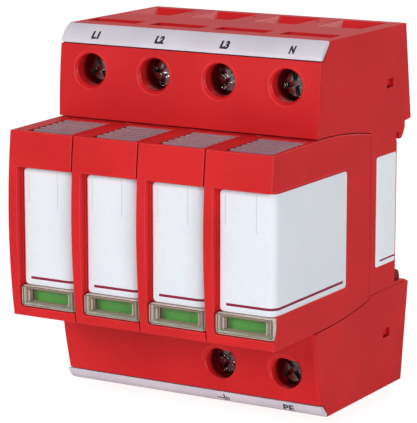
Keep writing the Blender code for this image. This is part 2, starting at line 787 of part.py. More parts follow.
def make_rear_cover(red):
    """The rear wall with the rail seat, the hook, the latch's guide and four snap arms."""
    cover = prism("cover_shape", cover_outline(), (-COVER_HALF, COVER_HALF))
    nose_x = (-FAR * 3, FAR * 3)
    nose_y = (0, NOSE_DEPTH + 2 * TOUCH_GAP)
    nose_z = (NOSE_BASE - LATCH_TRAVEL - TOUCH_GAP, CHANNEL_BOTTOM + PAST)
    cut(cover, box("nose_space", nose_x, nose_y, nose_z))
    flange_half = TONGUE_WIDTH / 2 + FLANGE_WIDTH + TOUCH_GAP
    tongue_half = TONGUE_WIDTH / 2 + TOUCH_GAP
    channel_z = (-HALF_HEIGHT, nose_z[1])
    flange_y = (0, FLANGE_THICKNESS + 2 * TOUCH_GAP)
    cut(cover, box("flange_space", (-flange_half, flange_half), flange_y, channel_z))
    cut(cover, box("tongue_space", (-tongue_half, tongue_half), (OVERLAP, FAR), channel_z))
    for side in (-1, 1):
        across = sorted((side * (flange_half + COVER_PLATE), side * (COVER_HALF - COVER_PLATE)))
        top = nose_z[0] - COVER_PLATE
        low = -HALF_HEIGHT + COVER_RIM + COVER_PLATE
        pocket = [
            (-COVER_PLATE - PAST, top),
            (rear_line(top) - COVER_PLATE, top),
            (rear_line(low) - COVER_PLATE, low),
            (-COVER_PLATE - PAST, low),
        ]
        cut(cover, prism(f"cover_core_{side}", pocket, across))
    lug_top = WINDOW_TOP - SPRING_LENGTH - 2 * TOUCH_GAP
    lug_x = span_about(0, WINDOW_WIDTH - 4 * TOUCH_GAP)
    lug_y = (-COVER_PLATE / 2, TONGUE_THICKNESS)
    fuse(cover, box("spring_lug", lug_x, lug_y, (lug_top - LUG_LENGTH, lug_top)))
    outer = HALF_WIDTH - (POLE_PITCH - MODULE_GAP - CHAMBER_WIDTH) / 2 - TOUCH_GAP
    for x in (-1, 1):
        for z in (-1, 1):
            root = rear_line(SNAP_HEIGHT) - COVER_PLATE + OVERLAP if z > 0 else -COVER_PLATE + OVERLAP
            height = span_about(z * SNAP_HEIGHT, SNAP_RISE)
            arm_x = sorted((x * (outer - SNAP_ARM), x * outer))
            front = SNAP_DEPTH - SNAP_SIZE / 2
            fuse(cover, box(f"snap_arm_{x}_{z}", arm_x, (front, root), height))
            lug_x = sorted((x * (outer - OVERLAP), x * (outer + SNAP_REACH)))
            lug_y = span_about(SNAP_DEPTH, SNAP_SIZE)
            low, high = height
            fuse(cover, box(f"snap_lug_{x}_{z}", lug_x, lug_y, (low + OVERLAP, high - OVERLAP)))
    return place("rear_cover", finished(cover), red)


def make_marking_strips(white):
    top = strip_outline(STRIP_LOW_FRONT, STRIP_TOP_FRONT, STRIP_HEIGHT, 1)
    bottom = strip_outline(FOOT_STRIP_FRONT, FOOT_FRONT, FOOT_STRIP_HEIGHT, -1)
    for name, outline in (("top_marking_strip", top), ("bottom_marking_strip", bottom)):
        strip = prism(name + "_shape", outline, (-HALF_WIDTH, HALF_WIDTH))
        place(name, finished(strip), white)


# Terminals and contacts


def jaw_leaves(name, x, side):
    """Two leaves that hang from a contact's shelf, on both sides of a blade."""
    leaves = []
    for hand in (-1, 1):
        inner = BLADE_THICKNESS / 2 + TOUCH_GAP
        across = sorted((x + hand * inner, x + hand * (inner + LEAF)))
        height = sorted((side * (BLADE_LOW - TOUCH_GAP), side * (SHELF_LOW + OVERLAP)))
        leaves.append(box(f"{name}_leaf_{hand}", across, (LEAF_FRONT, LEAF_REAR), height))
    return leaves


def make_line_contacts(tin):
    """A bent sheet from each top clamp down to the jaw behind the bay."""
    outline = [
        (CONTACT_FRONT, CONTACT_END),
        (CONTACT_FRONT, SHELF_LOW),
        (SHELF_REAR, SHELF_LOW),
        (SHELF_REAR, SHELF_LOW + SHEET),
        (CONTACT_REAR, SHELF_LOW + SHEET),
        (CONTACT_REAR, CONTACT_END),
    ]
    contact = prism("contact_shape", outline, (-CONTACT_WIDTH / 2, CONTACT_WIDTH / 2))
    fuse(contact, *jaw_leaves("contact", 0, 1))
    mesh = finished(contact)
    for number, x in enumerate(poles(), 1):
        place(f"line_contact_{number}", mesh, tin, (x, 0, 0))


def make_earth_busbar(tin):
    """One stamped comb: a web across all poles, a jaw at each, and tabs to the bottom clamps."""
    first, last = poles()[0], poles()[-1]
    half = CONTACT_WIDTH / 2
    web_y = (CONTACT_FRONT, CONTACT_REAR)
    web_z = (-SHELF_LOW - BUSBAR_DEPTH, -SHELF_LOW)
    bar = box("busbar_web", (first - half, last + half), web_y, web_z)
    for number, x in enumerate(poles(), 1):
        shelf_y = (CONTACT_REAR - OVERLAP, SHELF_REAR)
        fuse(bar, box(f"shelf_{number}", (x - half, x + half), shelf_y, (-SHELF_LOW - SHEET, -SHELF_LOW)))
        fuse(bar, *jaw_leaves(f"jaw_{number}", x, -1))
    for pole in LOWER_TERMINAL_POLES:
        x = pole_x(pole)
        tab_z = (-CONTACT_END, web_z[0] + OVERLAP)
        fuse(bar, box(f"tab_{pole}", (x - half, x + half), web_y, tab_z))
    place("earth_busbar", finished(bar), tin)


def screw_profile():
    """Half outline of a clamp screw as (radius, length from the head's top), outer side downwards."""
    length = CONTACT_FRONT - TOUCH_GAP - (POCKET_FRONT + TOUCH_GAP)
    return [
        (0, 0),
        (HEAD_DIAMETER / 2 - HEAD_CHAMFER, 0),
        (HEAD_DIAMETER / 2, -HEAD_CHAMFER),
        (HEAD_DIAMETER / 2, -HEAD_LENGTH),
        (SHANK_DIAMETER / 2, -HEAD_LENGTH),
        (SHANK_DIAMETER / 2, -length + SHANK_CHAMFER),
        (SHANK_DIAMETER / 2 - SHANK_CHAMFER, -length),
        (0, -length),
    ]


def turned(name, profile, steps=24):
    """A profile of (radius, height) points turned about Z."""
    mesh = bpy.data.meshes.new(name)
    shape = bmesh.new()
    points = [shape.verts.new((radius, 0, height)) for radius, height in profile]
    for first, second in zip(points, points[1:]):
        shape.edges.new((first, second))
    shape.to_mesh(mesh)
    shape.free()
    item = add(name, mesh)
    modifier = item.modifiers.new("turn", "SCREW")
    modifier.steps = steps
    modifier.render_steps = steps
    modifier.use_merge_vertices = True
    modifier.merge_threshold = 0.01 * MM
    return item


def make_terminals(steel, cage_steel):
    """The clamp screws and the cages that they pull forward onto the contacts."""
    screw = turned("screw_shape", screw_profile())
    reach = HEAD_DIAMETER / 2 - SLOT_RIM
    depth = (-SLOT_DEPTH, PAST)
    cut(screw, box("slot_across", (-reach, reach), span_about(0, SLOT_WIDTH), depth))
    cut(screw, box("slot_up", span_about(0, SLOT_WIDTH), (-reach, reach), depth))
    screw_mesh = finished(screw)
    screw_mesh.transform(Matrix.Rotation(math.radians(90), 4, "X"))

    front = CONTACT_FRONT - CAGE_THROAT - CAGE_FRONT_WALL
    rear = CONTACT_REAR + WIRE_SPACE + CAGE_REAR_WALL
    inner = CONTACT_WIDTH / 2 + TOUCH_GAP
    outer = inner + CAGE_SIDE
    length = span_about(0, CAGE_LENGTH)
    cage = box("cage_shape", (-outer, outer), (front, rear), length)
    hollow_y = (front + CAGE_FRONT_WALL, rear - CAGE_REAR_WALL)
    cut(cage, box("cage_hollow", (-inner, inner), hollow_y, span_about(0, CAGE_LENGTH * 2)))
    bore = SHANK_DIAMETER + 2 * TOUCH_GAP
    cut(cage, rod("cage_bore", bore, (front - PAST, hollow_y[0] + PAST), "Y", (0, 0, 0)))
    cage_mesh = finished(cage, (0, front, 0))

    names = [f"line_{number}" for number in range(1, POLE_COUNT + 1)]
    names += [f"earth_{number}" for number in range(1, len(LOWER_TERMINAL_POLES) + 1)]
    for name, (x, side) in zip(names, terminal_places()):
        height = side * TERMINAL_HEIGHT
        place(f"{name}_clamp_screw", screw_mesh, steel, (x, POCKET_FRONT + TOUCH_GAP, height))
        place(f"{name}_clamp_cage", cage_mesh, cage_steel, (x, front, height))


# The rail latch


def make_rail_latch(dark_red, spring_steel):
    lip = -RAIL_LIP
    slot = RAIL_THICKNESS + TOUCH_GAP
    nose_front = TOUCH_GAP
    outline = [
        (nose_front, NOSE_BASE),
        (nose_front, -RAIL_HALF - 2 * TOUCH_GAP),
        (slot, -RAIL_HALF - 2 * TOUCH_GAP),
        (slot, lip - NOSE_ROOT),
        (slot + NOSE_LEAD, lip),
        (NOSE_DEPTH - NOSE_BEVEL, lip),
        (NOSE_DEPTH - NOSE_EDGE, lip - NOSE_BEVEL_DROP),
        (NOSE_DEPTH, lip - NOSE_EDGE_DROP),
        (NOSE_DEPTH, NOSE_BASE),
    ]
    latch = prism("latch_nose", outline, (-COVER_HALF, COVER_HALF))
    tongue_y = (nose_front, nose_front + TONGUE_THICKNESS)
    tongue_x = span_about(0, TONGUE_WIDTH)
    fuse(latch, box("tongue", tongue_x, tongue_y, (TONGUE_END, NOSE_BASE + PAST)))
    flange_x = span_about(0, TONGUE_WIDTH + 2 * FLANGE_WIDTH)
    flange_y = (nose_front, nose_front + FLANGE_THICKNESS)
    flange_z = (TONGUE_END + LATCH_TRAVEL, NOSE_BASE - LATCH_TRAVEL)
    fuse(latch, box("flange", flange_x, flange_y, flange_z))
    window_z = (WINDOW_TOP - WINDOW_LENGTH, WINDOW_TOP)
    cut(latch, box("spring_window", span_about(0, WINDOW_WIDTH), (-FAR, FAR), window_z))
    grip_z = (TONGUE_END + GRIP_EDGE, TONGUE_END + LATCH_TRAVEL)
    cut(latch, box("grip_hole", span_about(0, GRIP_WIDTH), (-FAR, FAR), grip_z))
    place("rail_latch", finished(latch), dark_red)

    low = WINDOW_TOP - TOUCH_GAP - SPRING_LENGTH
    points = []
    count = SPRING_TURNS * 10
    for step in range(count + 1):
        angle = 2 * math.pi * SPRING_TURNS * step / count
        height = SPRING_WIRE / 2 + (SPRING_LENGTH - SPRING_WIRE) * step / count
        points.append((SPRING_RADIUS * math.cos(angle), SPRING_RADIUS * math.sin(angle), height))
    curve = bpy.data.curves.new("spring_path", "CURVE")
    curve.dimensions = "3D"
    curve.bevel_depth = SPRING_WIRE / 2
    curve.bevel_resolution = 1
    curve.use_fill_caps = True
    spline = curve.splines.new("POLY")
    spline.points.add(len(points) - 1)
    for point, co in zip(spline.points, points):
        point.co = (*co, 1)
    path = bpy.data.objects.new("spring_path", curve)
    bpy.data.collections[CUTTERS].objects.link(path)
    mesh = finished(path)
    bpy.data.objects.remove(path)
    middle = nose_front + TONGUE_THICKNESS / 2
    place("latch_spring", mesh, spring_steel, (0, middle, low))


# One module's pieces, modelled about x = 0 and shared by all four modules


def make_module_housing():
    housing = prism("module_shape", module_outline(), (-MODULE_HALF_WIDTH, MODULE_HALF_WIDTH))
    round_edges(housing, MODULE_ROUNDING)
    cut(housing, *module_hollows(), label_recess(), *lens_block("lens_seat", TOUCH_GAP))
    view_y = (LENS_REAR - PAST, FRONT_INSIDE + OVERLAP)
    cut(housing, box("view_opening", (VIEW_LEFT, VIEW_RIGHT), view_y, (VIEW_BOTTOM, VIEW_TOP)))
    key_x = (KEY_LEFT - TOUCH_GAP, KEY_RIGHT + TOUCH_GAP)
    key_y = (KEY_FRONT - TOUCH_GAP, KEY_REAR + TOUCH_GAP)
    key_low = MODULE_TOP - NOSE_DROP - KEY_SINK - KEY_DEPTH - TOUCH_GAP - KEY_TRAVEL
    key_z = (key_low, MODULE_TOP + PAST)
    cut(housing, box("key_opening", key_x, key_y, key_z))
    tooth_y = (TOOTH_FRONT - TOUCH_GAP - TOOTH_SWING, TOOTH_FRONT + TOOTH_LENGTH + TOUCH_GAP)
    tooth_x = span_about((KEY_LEFT + KEY_RIGHT) / 2, TOOTH_WIDTH + 2 * TOUCH_GAP)
    cut(housing, box("tooth_opening", tooth_x, tooth_y, (MODULE_TOP - 2 * MODULE_WALL, MODULE_TOP + PAST)))
    puller_z = (MODULE_TOP - PULLER_HOLE_DEPTH, MODULE_TOP + PAST)
    puller_at = (PULLER_HOLE_LEFT, PULLER_HOLE_FRONT, 0)
    cut(housing, rod("puller_hole", PULLER_HOLE_DIAMETER, puller_z, "Z", puller_at, sides=12))
    reach = INSIDE_HALF + AXLE_SEAT + TOUCH_GAP
    centre = (0, LEVER_PIVOT, lever_pivot_height())
    cut(housing, rod("axle_seat", AXLE_DIAMETER + 2 * TOUCH_GAP, (-reach, reach), "X", centre, sides=12))
    return finished(housing, (0, MODULE_REAR, 0))


def module_hollows():
    """The room for the inner parts, and the slot behind the window that the flag runs in."""
    inside = (-INSIDE_HALF, INSIDE_HALF)
    rib_rear = FRONT_INSIDE + FLAG_SLOT + RIB_THICKNESS
    ceiling = [(y, MODULE_TOP - MODULE_WALL - module_drop(y)) for y in module_arc()]
    floor = [(y, MODULE_BOTTOM + MODULE_WALL + module_drop(y)) for y in reversed(module_arc())]
    nose_top = MODULE_TOP - NOSE_DROP - MODULE_WALL
    nose_low = MODULE_BOTTOM + MODULE_WALL
    cavity = [(rib_rear, nose_low), (rib_rear, nose_top)] + ceiling
    cavity += [(FAR, ceiling[-1][1]), (FAR, floor[0][1])] + floor
    front_y_span = (FRONT_INSIDE, rib_rear + OVERLAP)
    slot_y = (FRONT_INSIDE, FRONT_INSIDE + FLAG_SLOT)
    slot_z = (VIEW_BOTTOM - FLAG_ROOM, RIB_TOP + OVERLAP)
    return [
        prism("module_cavity", cavity, inside),
        box("front_cavity", inside, front_y_span, (RIB_TOP, nose_top)),
        box("flag_slot", inside, slot_y, slot_z),
        box("arm_gap", arm_gap_x(), front_y_span, slot_z),
    ]


def label_recess():
    """A flat step down for the label, round the front's right corner and along the side."""
    side = MODULE_HALF_WIDTH - LABEL_RECESS
    centre = (side - LABEL_CORNER, LABEL_PLANE + LABEL_CORNER)
    panel = [(LABEL_LEFT, -4 * FAR), (LABEL_LEFT, LABEL_PLANE)]
    panel += round_corner(centre, LABEL_CORNER, -90, 0)
    panel += [(side, LABEL_REAR), (FAR, LABEL_REAR), (FAR, -4 * FAR)]
    return prism("label_recess", panel, (LABEL_BOTTOM, LABEL_TOP), "Z")


def lens_block(name, gap):
    """The lens's outer form with a gap round it, and the corner that the module's side keeps."""
    top = LABEL_BOTTOM - TOUCH_GAP + gap
    low = LABEL_BOTTOM - TOUCH_GAP - LENS_HEIGHT - gap
    left = LENS_LEFT - gap
    right = MODULE_HALF_WIDTH - OVERLAP
    rear = LENS_REAR + gap
    front = LENS_FRONT - gap * 20
    corner = LENS_CORNER
    outline = [(left + corner, low), (right + gap * 20, low), (right + gap * 20, top), (left + corner, top)]
    outline += round_corner((left + corner, top - corner), corner, 90, 180, steps=3)[1:]
    outline += round_corner((left + corner, low + corner), corner, 180, 270, steps=3)[:-1]
    block = prism(name, outline, (front, rear), "Y")
    slant = [
        (LENS_FRONT + LENS_CORNER, low - PAST),
        (LENS_FRONT + LENS_CORNER, low),
        (rear, low + LENS_SLANT_HEIGHT),
        (rear + PAST, low + LENS_SLANT_HEIGHT),
        (rear + PAST, low - PAST),
    ]
    cut(block, prism(name + "_slant", slant, (right - LENS_SLANT_WIDTH + gap, FAR)))
    return [block]


def arm_gap_x():
    """The free strip at the left wall, where the disconnector's arm reaches the flag."""
    return (-INSIDE_HALF, -INSIDE_HALF + ARM_THICKNESS + 2 * TOUCH_GAP)


def make_back_plate():
    top = MODULE_TOP - MODULE_WALL - module_drop(MODULE_REAR) - TOUCH_GAP
    low = MODULE_BOTTOM + MODULE_WALL + module_drop(MODULE_REAR) + TOUCH_GAP
    y = (MODULE_REAR - TOUCH_GAP - BACK_PLATE, MODULE_REAR - TOUCH_GAP)
    half = INSIDE_HALF - TOUCH_GAP
    plate = box("back_shape", (-half, half), y, (low, top))
    slot_x = span_about(0, BLADE_THICKNESS + 2 * TOUCH_GAP)
    through = (y[0] - PAST, y[1] + PAST)
    for side in (-1, 1):
        height = sorted((side * (BLADE_LOW - TOUCH_GAP), side * (BLADE_HIGH + TOUCH_GAP)))
        cut(plate, box(f"blade_slot_{side}", slot_x, through, height))
    return finished(plate, (0, MODULE_REAR, 0))


def lever_pivot_height():
    return MODULE_TOP - module_drop(LEVER_PIVOT) - MODULE_WALL - LEVER_PIVOT_DROP


def make_release_key():
    """A ribbed pad on a lever that runs back under the top wall to its axle, with a lock tooth."""
    top_front = MODULE_TOP - NOSE_DROP - KEY_SINK
    top_rear = MODULE_TOP - KEY_SINK
    under_wall = MODULE_TOP - MODULE_WALL - TOUCH_GAP
    lever_end = LEVER_PIVOT + AXLE_DIAMETER
    end_top = under_wall - module_drop(lever_end) - TOUCH_GAP
    outline = [
        (KEY_FRONT, top_front),
        (KEY_REAR, top_rear),
        (KEY_REAR, under_wall),
        (ARC_START, under_wall),
        (lever_end, end_top),
        (lever_end, lever_pivot_height() - AXLE_DIAMETER),
        (LEVER_PIVOT, lever_pivot_height() - AXLE_DIAMETER),
        (ARC_START, under_wall - LEVER_THICKNESS),
        (KEY_REAR, under_wall - LEVER_THICKNESS),
        (KEY_REAR, top_rear - KEY_DEPTH),
        (KEY_FRONT, top_front - KEY_DEPTH),
    ]
    key = prism("key_shape", outline, (KEY_LEFT, KEY_RIGHT))
    first = KEY_FRONT + RIB_FRONT_LAND
    pitch = (KEY_REAR - RIB_REAR_LAND - RIB_WIDTH - first) / (RIB_COUNT - 1)
    for number in range(RIB_COUNT):
        y = first + pitch * number
        share = (y + RIB_WIDTH / 2 - KEY_FRONT) / (KEY_REAR - KEY_FRONT)
        top = top_front + (top_rear - top_front) * share
        rib_x = (KEY_LEFT + OVERLAP, KEY_RIGHT - OVERLAP)
        fuse(key, box(f"rib_{number}", rib_x, (y, y + RIB_WIDTH), (top - RIB_HEIGHT, top + RIB_HEIGHT)))
    tooth_x = span_about((KEY_LEFT + KEY_RIGHT) / 2, TOOTH_WIDTH)
    tooth_y = (TOOTH_FRONT, TOOTH_FRONT + TOOTH_LENGTH)
    fuse(key, box("tooth", tooth_x, tooth_y, (under_wall - LEVER_THICKNESS / 2, MODULE_TOP + OVERLAP)))
    reach = INSIDE_HALF + AXLE_SEAT
    centre = (0, LEVER_PIVOT, lever_pivot_height())
    fuse(key, rod("axle", AXLE_DIAMETER, (-reach, reach), "X", centre, sides=12))
    return finished(key, centre)


def make_window():
    """The clear moulded lens: a stepped rim round a sunk pane."""
    lens = lens_block("lens_shape", 0)[0]
    top = LABEL_BOTTOM - TOUCH_GAP
    low = top - LENS_HEIGHT
    right = MODULE_HALF_WIDTH - OVERLAP
    steps = ((1, LENS_STEP, LENS_STEP_DEPTH), (2, LENS_STEP + LENS_RIM, 2 * LENS_STEP_DEPTH))
    for number, rim, depth in steps:
        across = (LENS_LEFT + rim, right - rim)
        height = (low + rim * LENS_RIM_SHARE, top - rim * LENS_RIM_SHARE)
        cut(lens, box(f"lens_step_{number}", across, (LENS_FRONT - PAST, LENS_FRONT + depth), height))
    turn = [(right - LENS_TURN, LENS_FRONT - PAST)]
    turn += round_corner((right - LENS_TURN, LENS_FRONT + LENS_TURN), LENS_TURN, -90, 0, steps=3)
    turn += [(right + PAST, LENS_FRONT + LENS_TURN), (right + PAST, LENS_FRONT - PAST)]
    cut(lens, prism("lens_turn", turn, (low - PAST, top + PAST), "Z"))
    return finished(lens, (0, MODULE_REAR, 0))


def flag_y():
    middle = FRONT_INSIDE + FLAG_SLOT / 2
    return span_about(middle, FLAG_THICKNESS)


def make_flag():
    """The green shutter behind the lens, with a tab that the disconnector's arm lifts."""
    high = VIEW_TOP + FLAG_MARGIN
    low = VIEW_BOTTOM - FLAG_MARGIN
    left = VIEW_LEFT - 2 * TOUCH_GAP
    flag = box("flag_shape", (left, INSIDE_HALF - TOUCH_GAP), flag_y(), (low, high))
    tab_x = (-INSIDE_HALF + TOUCH_GAP, left + OVERLAP)
    fuse(flag, box("flag_tab", tab_x, flag_y(), (ARM_TIP_TOP + TOUCH_GAP, high - OVERLAP)))
    return finished(flag, (0, FRONT_INSIDE, VIEW_BOTTOM))


def make_varistor():
    y = (VARISTOR_FRONT, VARISTOR_REAR)
    z = (VARISTOR_BOTTOM, VARISTOR_TOP)
    radius = VARISTOR_CORNER
    outline = []
    for first, across, up in ((0, 1, 1), (90, 0, 1), (180, 0, 0), (270, 1, 0)):
        centre = (y[across] + (radius if across == 0 else -radius), z[up] + (radius if up == 0 else -radius))
        outline += round_corner(centre, radius, first, first + 90, steps=4)
    varistor = prism("varistor_shape", outline, span_about(0, VARISTOR_THICKNESS))
    round_edges(varistor, VARISTOR_ROUNDING)
    return finished(varistor, (0, MODULE_REAR, 0))


def blade_path(side, end):
    """A blade in plan: straight at the tip, then bent out to lie beside the varistor."""
    inner = VARISTOR_THICKNESS / 2 + TOUCH_GAP
    outer = inner + BLADE_THICKNESS
    half = BLADE_THICKNESS / 2
    tip = BLADE_POINT
    rear = STRIP_BEND
    front = STRIP_BEND - inner * 0.7
    right = [(half - tip, BLADE_TIP), (half, BLADE_TIP - PAST), (half, rear), (outer, front), (outer, end)]
    left = [(inner, end), (inner, front - half), (-half, rear)]
    left += [(-half, BLADE_TIP - PAST), (tip - half, BLADE_TIP)]
    return [(side * x, y) for x, y in right + left]


def make_blades():
    line = prism("line_blade_shape", blade_path(1, LINE_STRIP_END), (BLADE_LOW, BLADE_HIGH), "Z")
    earth = prism("earth_blade_shape", blade_path(-1, EARTH_STRIP_END), (-BLADE_HIGH, -BLADE_LOW), "Z")
    bore = PIVOT_PIN_DIAMETER + 2 * TOUCH_GAP
    centre = (0, ARM_PIVOT, ARM_PIVOT_HEIGHT)
    cut(earth, rod("arm_bore", bore, (-INSIDE_HALF, 0), "X", centre, sides=16))
    return finished(line, (0, MODULE_REAR, 0)), finished(earth, (0, MODULE_REAR, 0))


def make_disconnector():
    """The arm that the solder holds to the varistor. It lifts the flag when it lets go."""
    outer = -INSIDE_HALF + TOUCH_GAP
    inner = outer + ARM_THICKNESS
    tip_low = ARM_TIP_TOP - ARM_DEPTH
    heel = ARM_PIVOT + ARM_HEEL
    outline = [
        (heel, ARM_PIVOT_HEIGHT + ARM_SHOULDER),
        (ARM_PIVOT - PIVOT_PIN_DIAMETER, ARM_PIVOT_HEIGHT + ARM_SHOULDER),
        (ARM_TIP + ARM_TIP_LENGTH, ARM_TIP_TOP),
        (ARM_TIP, ARM_TIP_TOP),
        (ARM_TIP, tip_low),
        (ARM_TIP + ARM_TIP_LENGTH, tip_low),
        (ARM_PIVOT, ARM_PIVOT_HEIGHT - ARM_BELLY),
        (heel, ARM_PIVOT_HEIGHT - ARM_BELLY),
    ]
    arm = prism("arm_shape", outline, (outer, inner))
    varistor_side = -VARISTOR_THICKNESS / 2 - TOUCH_GAP
    centre = (0, ARM_PIVOT, ARM_PIVOT_HEIGHT)
    pin = rod("arm_pin", PIVOT_PIN_DIAMETER, (inner - OVERLAP, varistor_side), "X", centre, sides=16)
    pad_y = span_about((VARISTOR_FRONT + VARISTOR_REAR) / 2 - SOLDER_PAD_SHIFT, SOLDER_PAD_LENGTH)
    pad_z = span_about(VARISTOR_BOTTOM, SOLDER_PAD_HEIGHT)
    fuse(arm, pin, box("solder_pad", (inner - OVERLAP, varistor_side), pad_y, pad_z))
    return finished(arm, centre)


def make_modules(finishes):
    housing = make_module_housing()
    back = make_back_plate()
    key = make_release_key()
    window = make_window()
    flag = make_flag()
    varistor = make_varistor()
    line_blade, earth_blade = make_blades()
    arm = make_disconnector()
    for number, x in enumerate(poles(), 1):
        frame = bpy.data.objects.new(f"module_{number}_frame", None)
        frame.location = (x, MODULE_REAR, 0)
        frame.empty_display_size = 5 * MM
        bpy.data.collections[PARTS].objects.link(frame)
        rear = (x, MODULE_REAR, 0)
        name = f"module_{number}"
        place(f"{name}_housing", housing, finishes["red"], rear, frame)
        place(f"{name}_back_plate", back, finishes["dark_red"], rear, frame)
        place(f"{name}_window", window, finishes["clear"], rear, frame)
        place(f"{name}_varistor", varistor, finishes["varistor"], rear, frame)
        place(f"{name}_line_blade", line_blade, finishes["tin"], rear, frame)
        place(f"{name}_earth_blade", earth_blade, finishes["tin"], rear, frame)
        key_pivot = (x, LEVER_PIVOT, lever_pivot_height())
        place(f"{name}_release_key", key, finishes["grey"], key_pivot, frame)
        place(f"{name}_indicator_flag", flag, finishes["green"], (x, FRONT_INSIDE, VIEW_BOTTOM), frame)
        arm_pivot = (x, ARM_PIVOT, ARM_PIVOT_HEIGHT)
        place(f"{name}_disconnector_arm", arm, finishes["copper"], arm_pivot, frame)


def main():
    clear_scene()
    make_collection(PARTS)
    make_collection(CUTTERS, helper=True)
    finishes = {
        "red": material("red_housing", (0.58, 0.016, 0.022), 0.45),
        "dark_red": material("dark_red_moulding", (0.30, 0.012, 0.015), 0.5),
        "white": material("white_strip", (0.74, 0.72, 0.78), 0.4),
        "grey": material("grey_key", (0.30, 0.27, 0.30), 0.5),
        "clear": material("clear_lens", (0.80, 0.78, 0.72), 0.08, alpha=0.4),
        "green": material("green_flag", (0.05, 0.27, 0.04), 0.4),
        "tin": material("tinned_copper", (0.72, 0.70, 0.66), 0.3, metallic=1.0),
        "steel": material("zinc_steel", (0.62, 0.62, 0.63), 0.3, metallic=1.0),
        "copper": material("spring_copper", (0.72, 0.36, 0.20), 0.3, metallic=1.0),
        "varistor": material("varistor_coating", (0.05, 0.12, 0.30), 0.45),
    }
    make_base_housing(finishes["red"])
    make_rear_cover(finishes["red"])
    make_marking_strips(finishes["white"])
    make_line_contacts(finishes["tin"])
    make_earth_busbar(finishes["tin"])
    make_terminals(finishes["steel"], finishes["steel"])
    make_rail_latch(finishes["dark_red"], finishes["steel"])
    make_modules(finishes)


main()
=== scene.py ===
"""Looks for the four-pole DIN rail surge arrester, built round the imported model.

Metres, +Z up, and the front faces -Y.
"""

import math

import bmesh
import bpy
from mathutils import Matrix, Vector


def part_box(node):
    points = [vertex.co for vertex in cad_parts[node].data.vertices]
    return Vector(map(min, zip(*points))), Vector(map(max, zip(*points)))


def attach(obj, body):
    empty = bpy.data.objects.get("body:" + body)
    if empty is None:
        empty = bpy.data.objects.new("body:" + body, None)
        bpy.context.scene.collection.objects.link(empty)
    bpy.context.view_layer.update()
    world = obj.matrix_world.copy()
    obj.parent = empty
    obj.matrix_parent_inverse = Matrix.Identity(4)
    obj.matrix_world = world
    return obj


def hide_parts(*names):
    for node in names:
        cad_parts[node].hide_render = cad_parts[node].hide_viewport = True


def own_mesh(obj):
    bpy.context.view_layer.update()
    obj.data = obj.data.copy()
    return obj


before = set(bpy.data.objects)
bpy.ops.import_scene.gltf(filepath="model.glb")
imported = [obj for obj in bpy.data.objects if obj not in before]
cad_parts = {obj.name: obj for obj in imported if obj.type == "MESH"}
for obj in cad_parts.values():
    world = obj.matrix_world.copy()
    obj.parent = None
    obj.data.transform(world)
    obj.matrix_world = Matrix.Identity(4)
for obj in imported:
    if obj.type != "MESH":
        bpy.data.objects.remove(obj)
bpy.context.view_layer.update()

MM = 0.001

# Poles, and the terminals on them: name, place across, and 1 above or -1 below
POLES = [-27 * MM, -9 * MM, 9 * MM, 27 * MM]
HALF_PITCH = 9 * MM
MODULES = [(f"module_{number}", x) for number, x in enumerate(POLES, 1)]
UPPER_CLAMPS = [(f"line_{number}", x, 1) for number, x in enumerate(POLES, 1)]
LOWER_CLAMPS = [(f"earth_{number}", x, -1) for number, x in enumerate(POLES[2:], 1)]
CLAMPS = UPPER_CLAMPS + LOWER_CLAMPS
SCREW_HEIGHT = 34.4 * MM
SCREW_TURNS = {"line_1": -28, "line_2": 14, "line_3": 36, "line_4": -12, "earth_1": 24, "earth_2": -38}

# Cuts in a screw's head: turn, width, length and depth
RECESSES = (
    (0, 1.15 * MM, 6.4 * MM, 1.25 * MM),
    (90, 1.15 * MM, 6.4 * MM, 1.25 * MM),
    (45, 0.5 * MM, 2.4 * MM, 0.8 * MM),
)

# Ribs of a release key: the middle of the front one, the pitch, and half a rib's width
RIB_MIDDLE, RIB_PITCH, RIB_LAND = -58.25 * MM, 2.53 * MM, 0.65 * MM

# Driver holes: the front they open in, their radius and their two lips, inner and outer radius each
BLOCK_FRONT = -40.5 * MM
HOLE_RADIUS = 4.1 * MM
HOLE_LIPS = ((4.60 * MM, 4.82 * MM), (3.90 * MM, 4.12 * MM))

# Type label: the end wall it is on, its middle, half its straight edges, and its corners' radius
END_WALL = 35.725 * MM
FILM_MIDDLE = (-5.7 * MM, 0.15 * MM)
FILM_STRAIGHT = (4.6 * MM, 12.95 * MM)
FILM_CORNER = 0.70 * MM

# Lens rim and the clear pane in it, left, right, low and high, from the pole's middle
LENS_RIM = (-6.4 * MM, 8.7 * MM, -20.6 * MM, -15.5 * MM)
LENS_PANE = (-4.4 * MM, 6.5 * MM, -19.4 * MM, -16.5 * MM)
RIM_WIDTH = 2.2 * MM

# Latch spring: the coil's radius, its turns and the wire's thickness
COIL_RADIUS, COIL_TURNS, WIRE = 1.35 * MM, 5, 0.5 * MM

# Marking strips: the tilt of the marks, and the point behind which they lie
STRIP_PLACES = {
    "top_marking_strip": (53.0, (-39.66 * MM, 42.96 * MM)),
    "bottom_marking_strip": (128.8, (-38.25 * MM, -43.90 * MM)),
}

# Studio: lamps by name, place and power, all aimed at one point
LAMPS = (
    ("key", (-0.35, -1.20, 0.65), 10.6),
    ("fill", (1.15, -0.66, 0.20), 7.1),
    ("top", (0.1, 0.3, 1.15), 4.2),
    ("rear", (0.0, 1.25, 0.50), 4.5),
)
LAMP_AIM = (0, -0.03, 0)
LAMP_SIZE = 0.6
AMBIENT = 0.14
FLOOR_LEVEL = -48.2 * MM
FLOOR_SIZE = 12

# Camera, from the fit to the photograph
CAMERA_PLACE = (285.6 * MM, -515.6 * MM, 113.8 * MM)
CAMERA_AZIMUTH, CAMERA_ELEVATION = 30.48, 11.40
FOCAL_PIXELS, PICTURE_HEIGHT, SENSOR_HEIGHT = 2359, 423, 36


# Shader maths


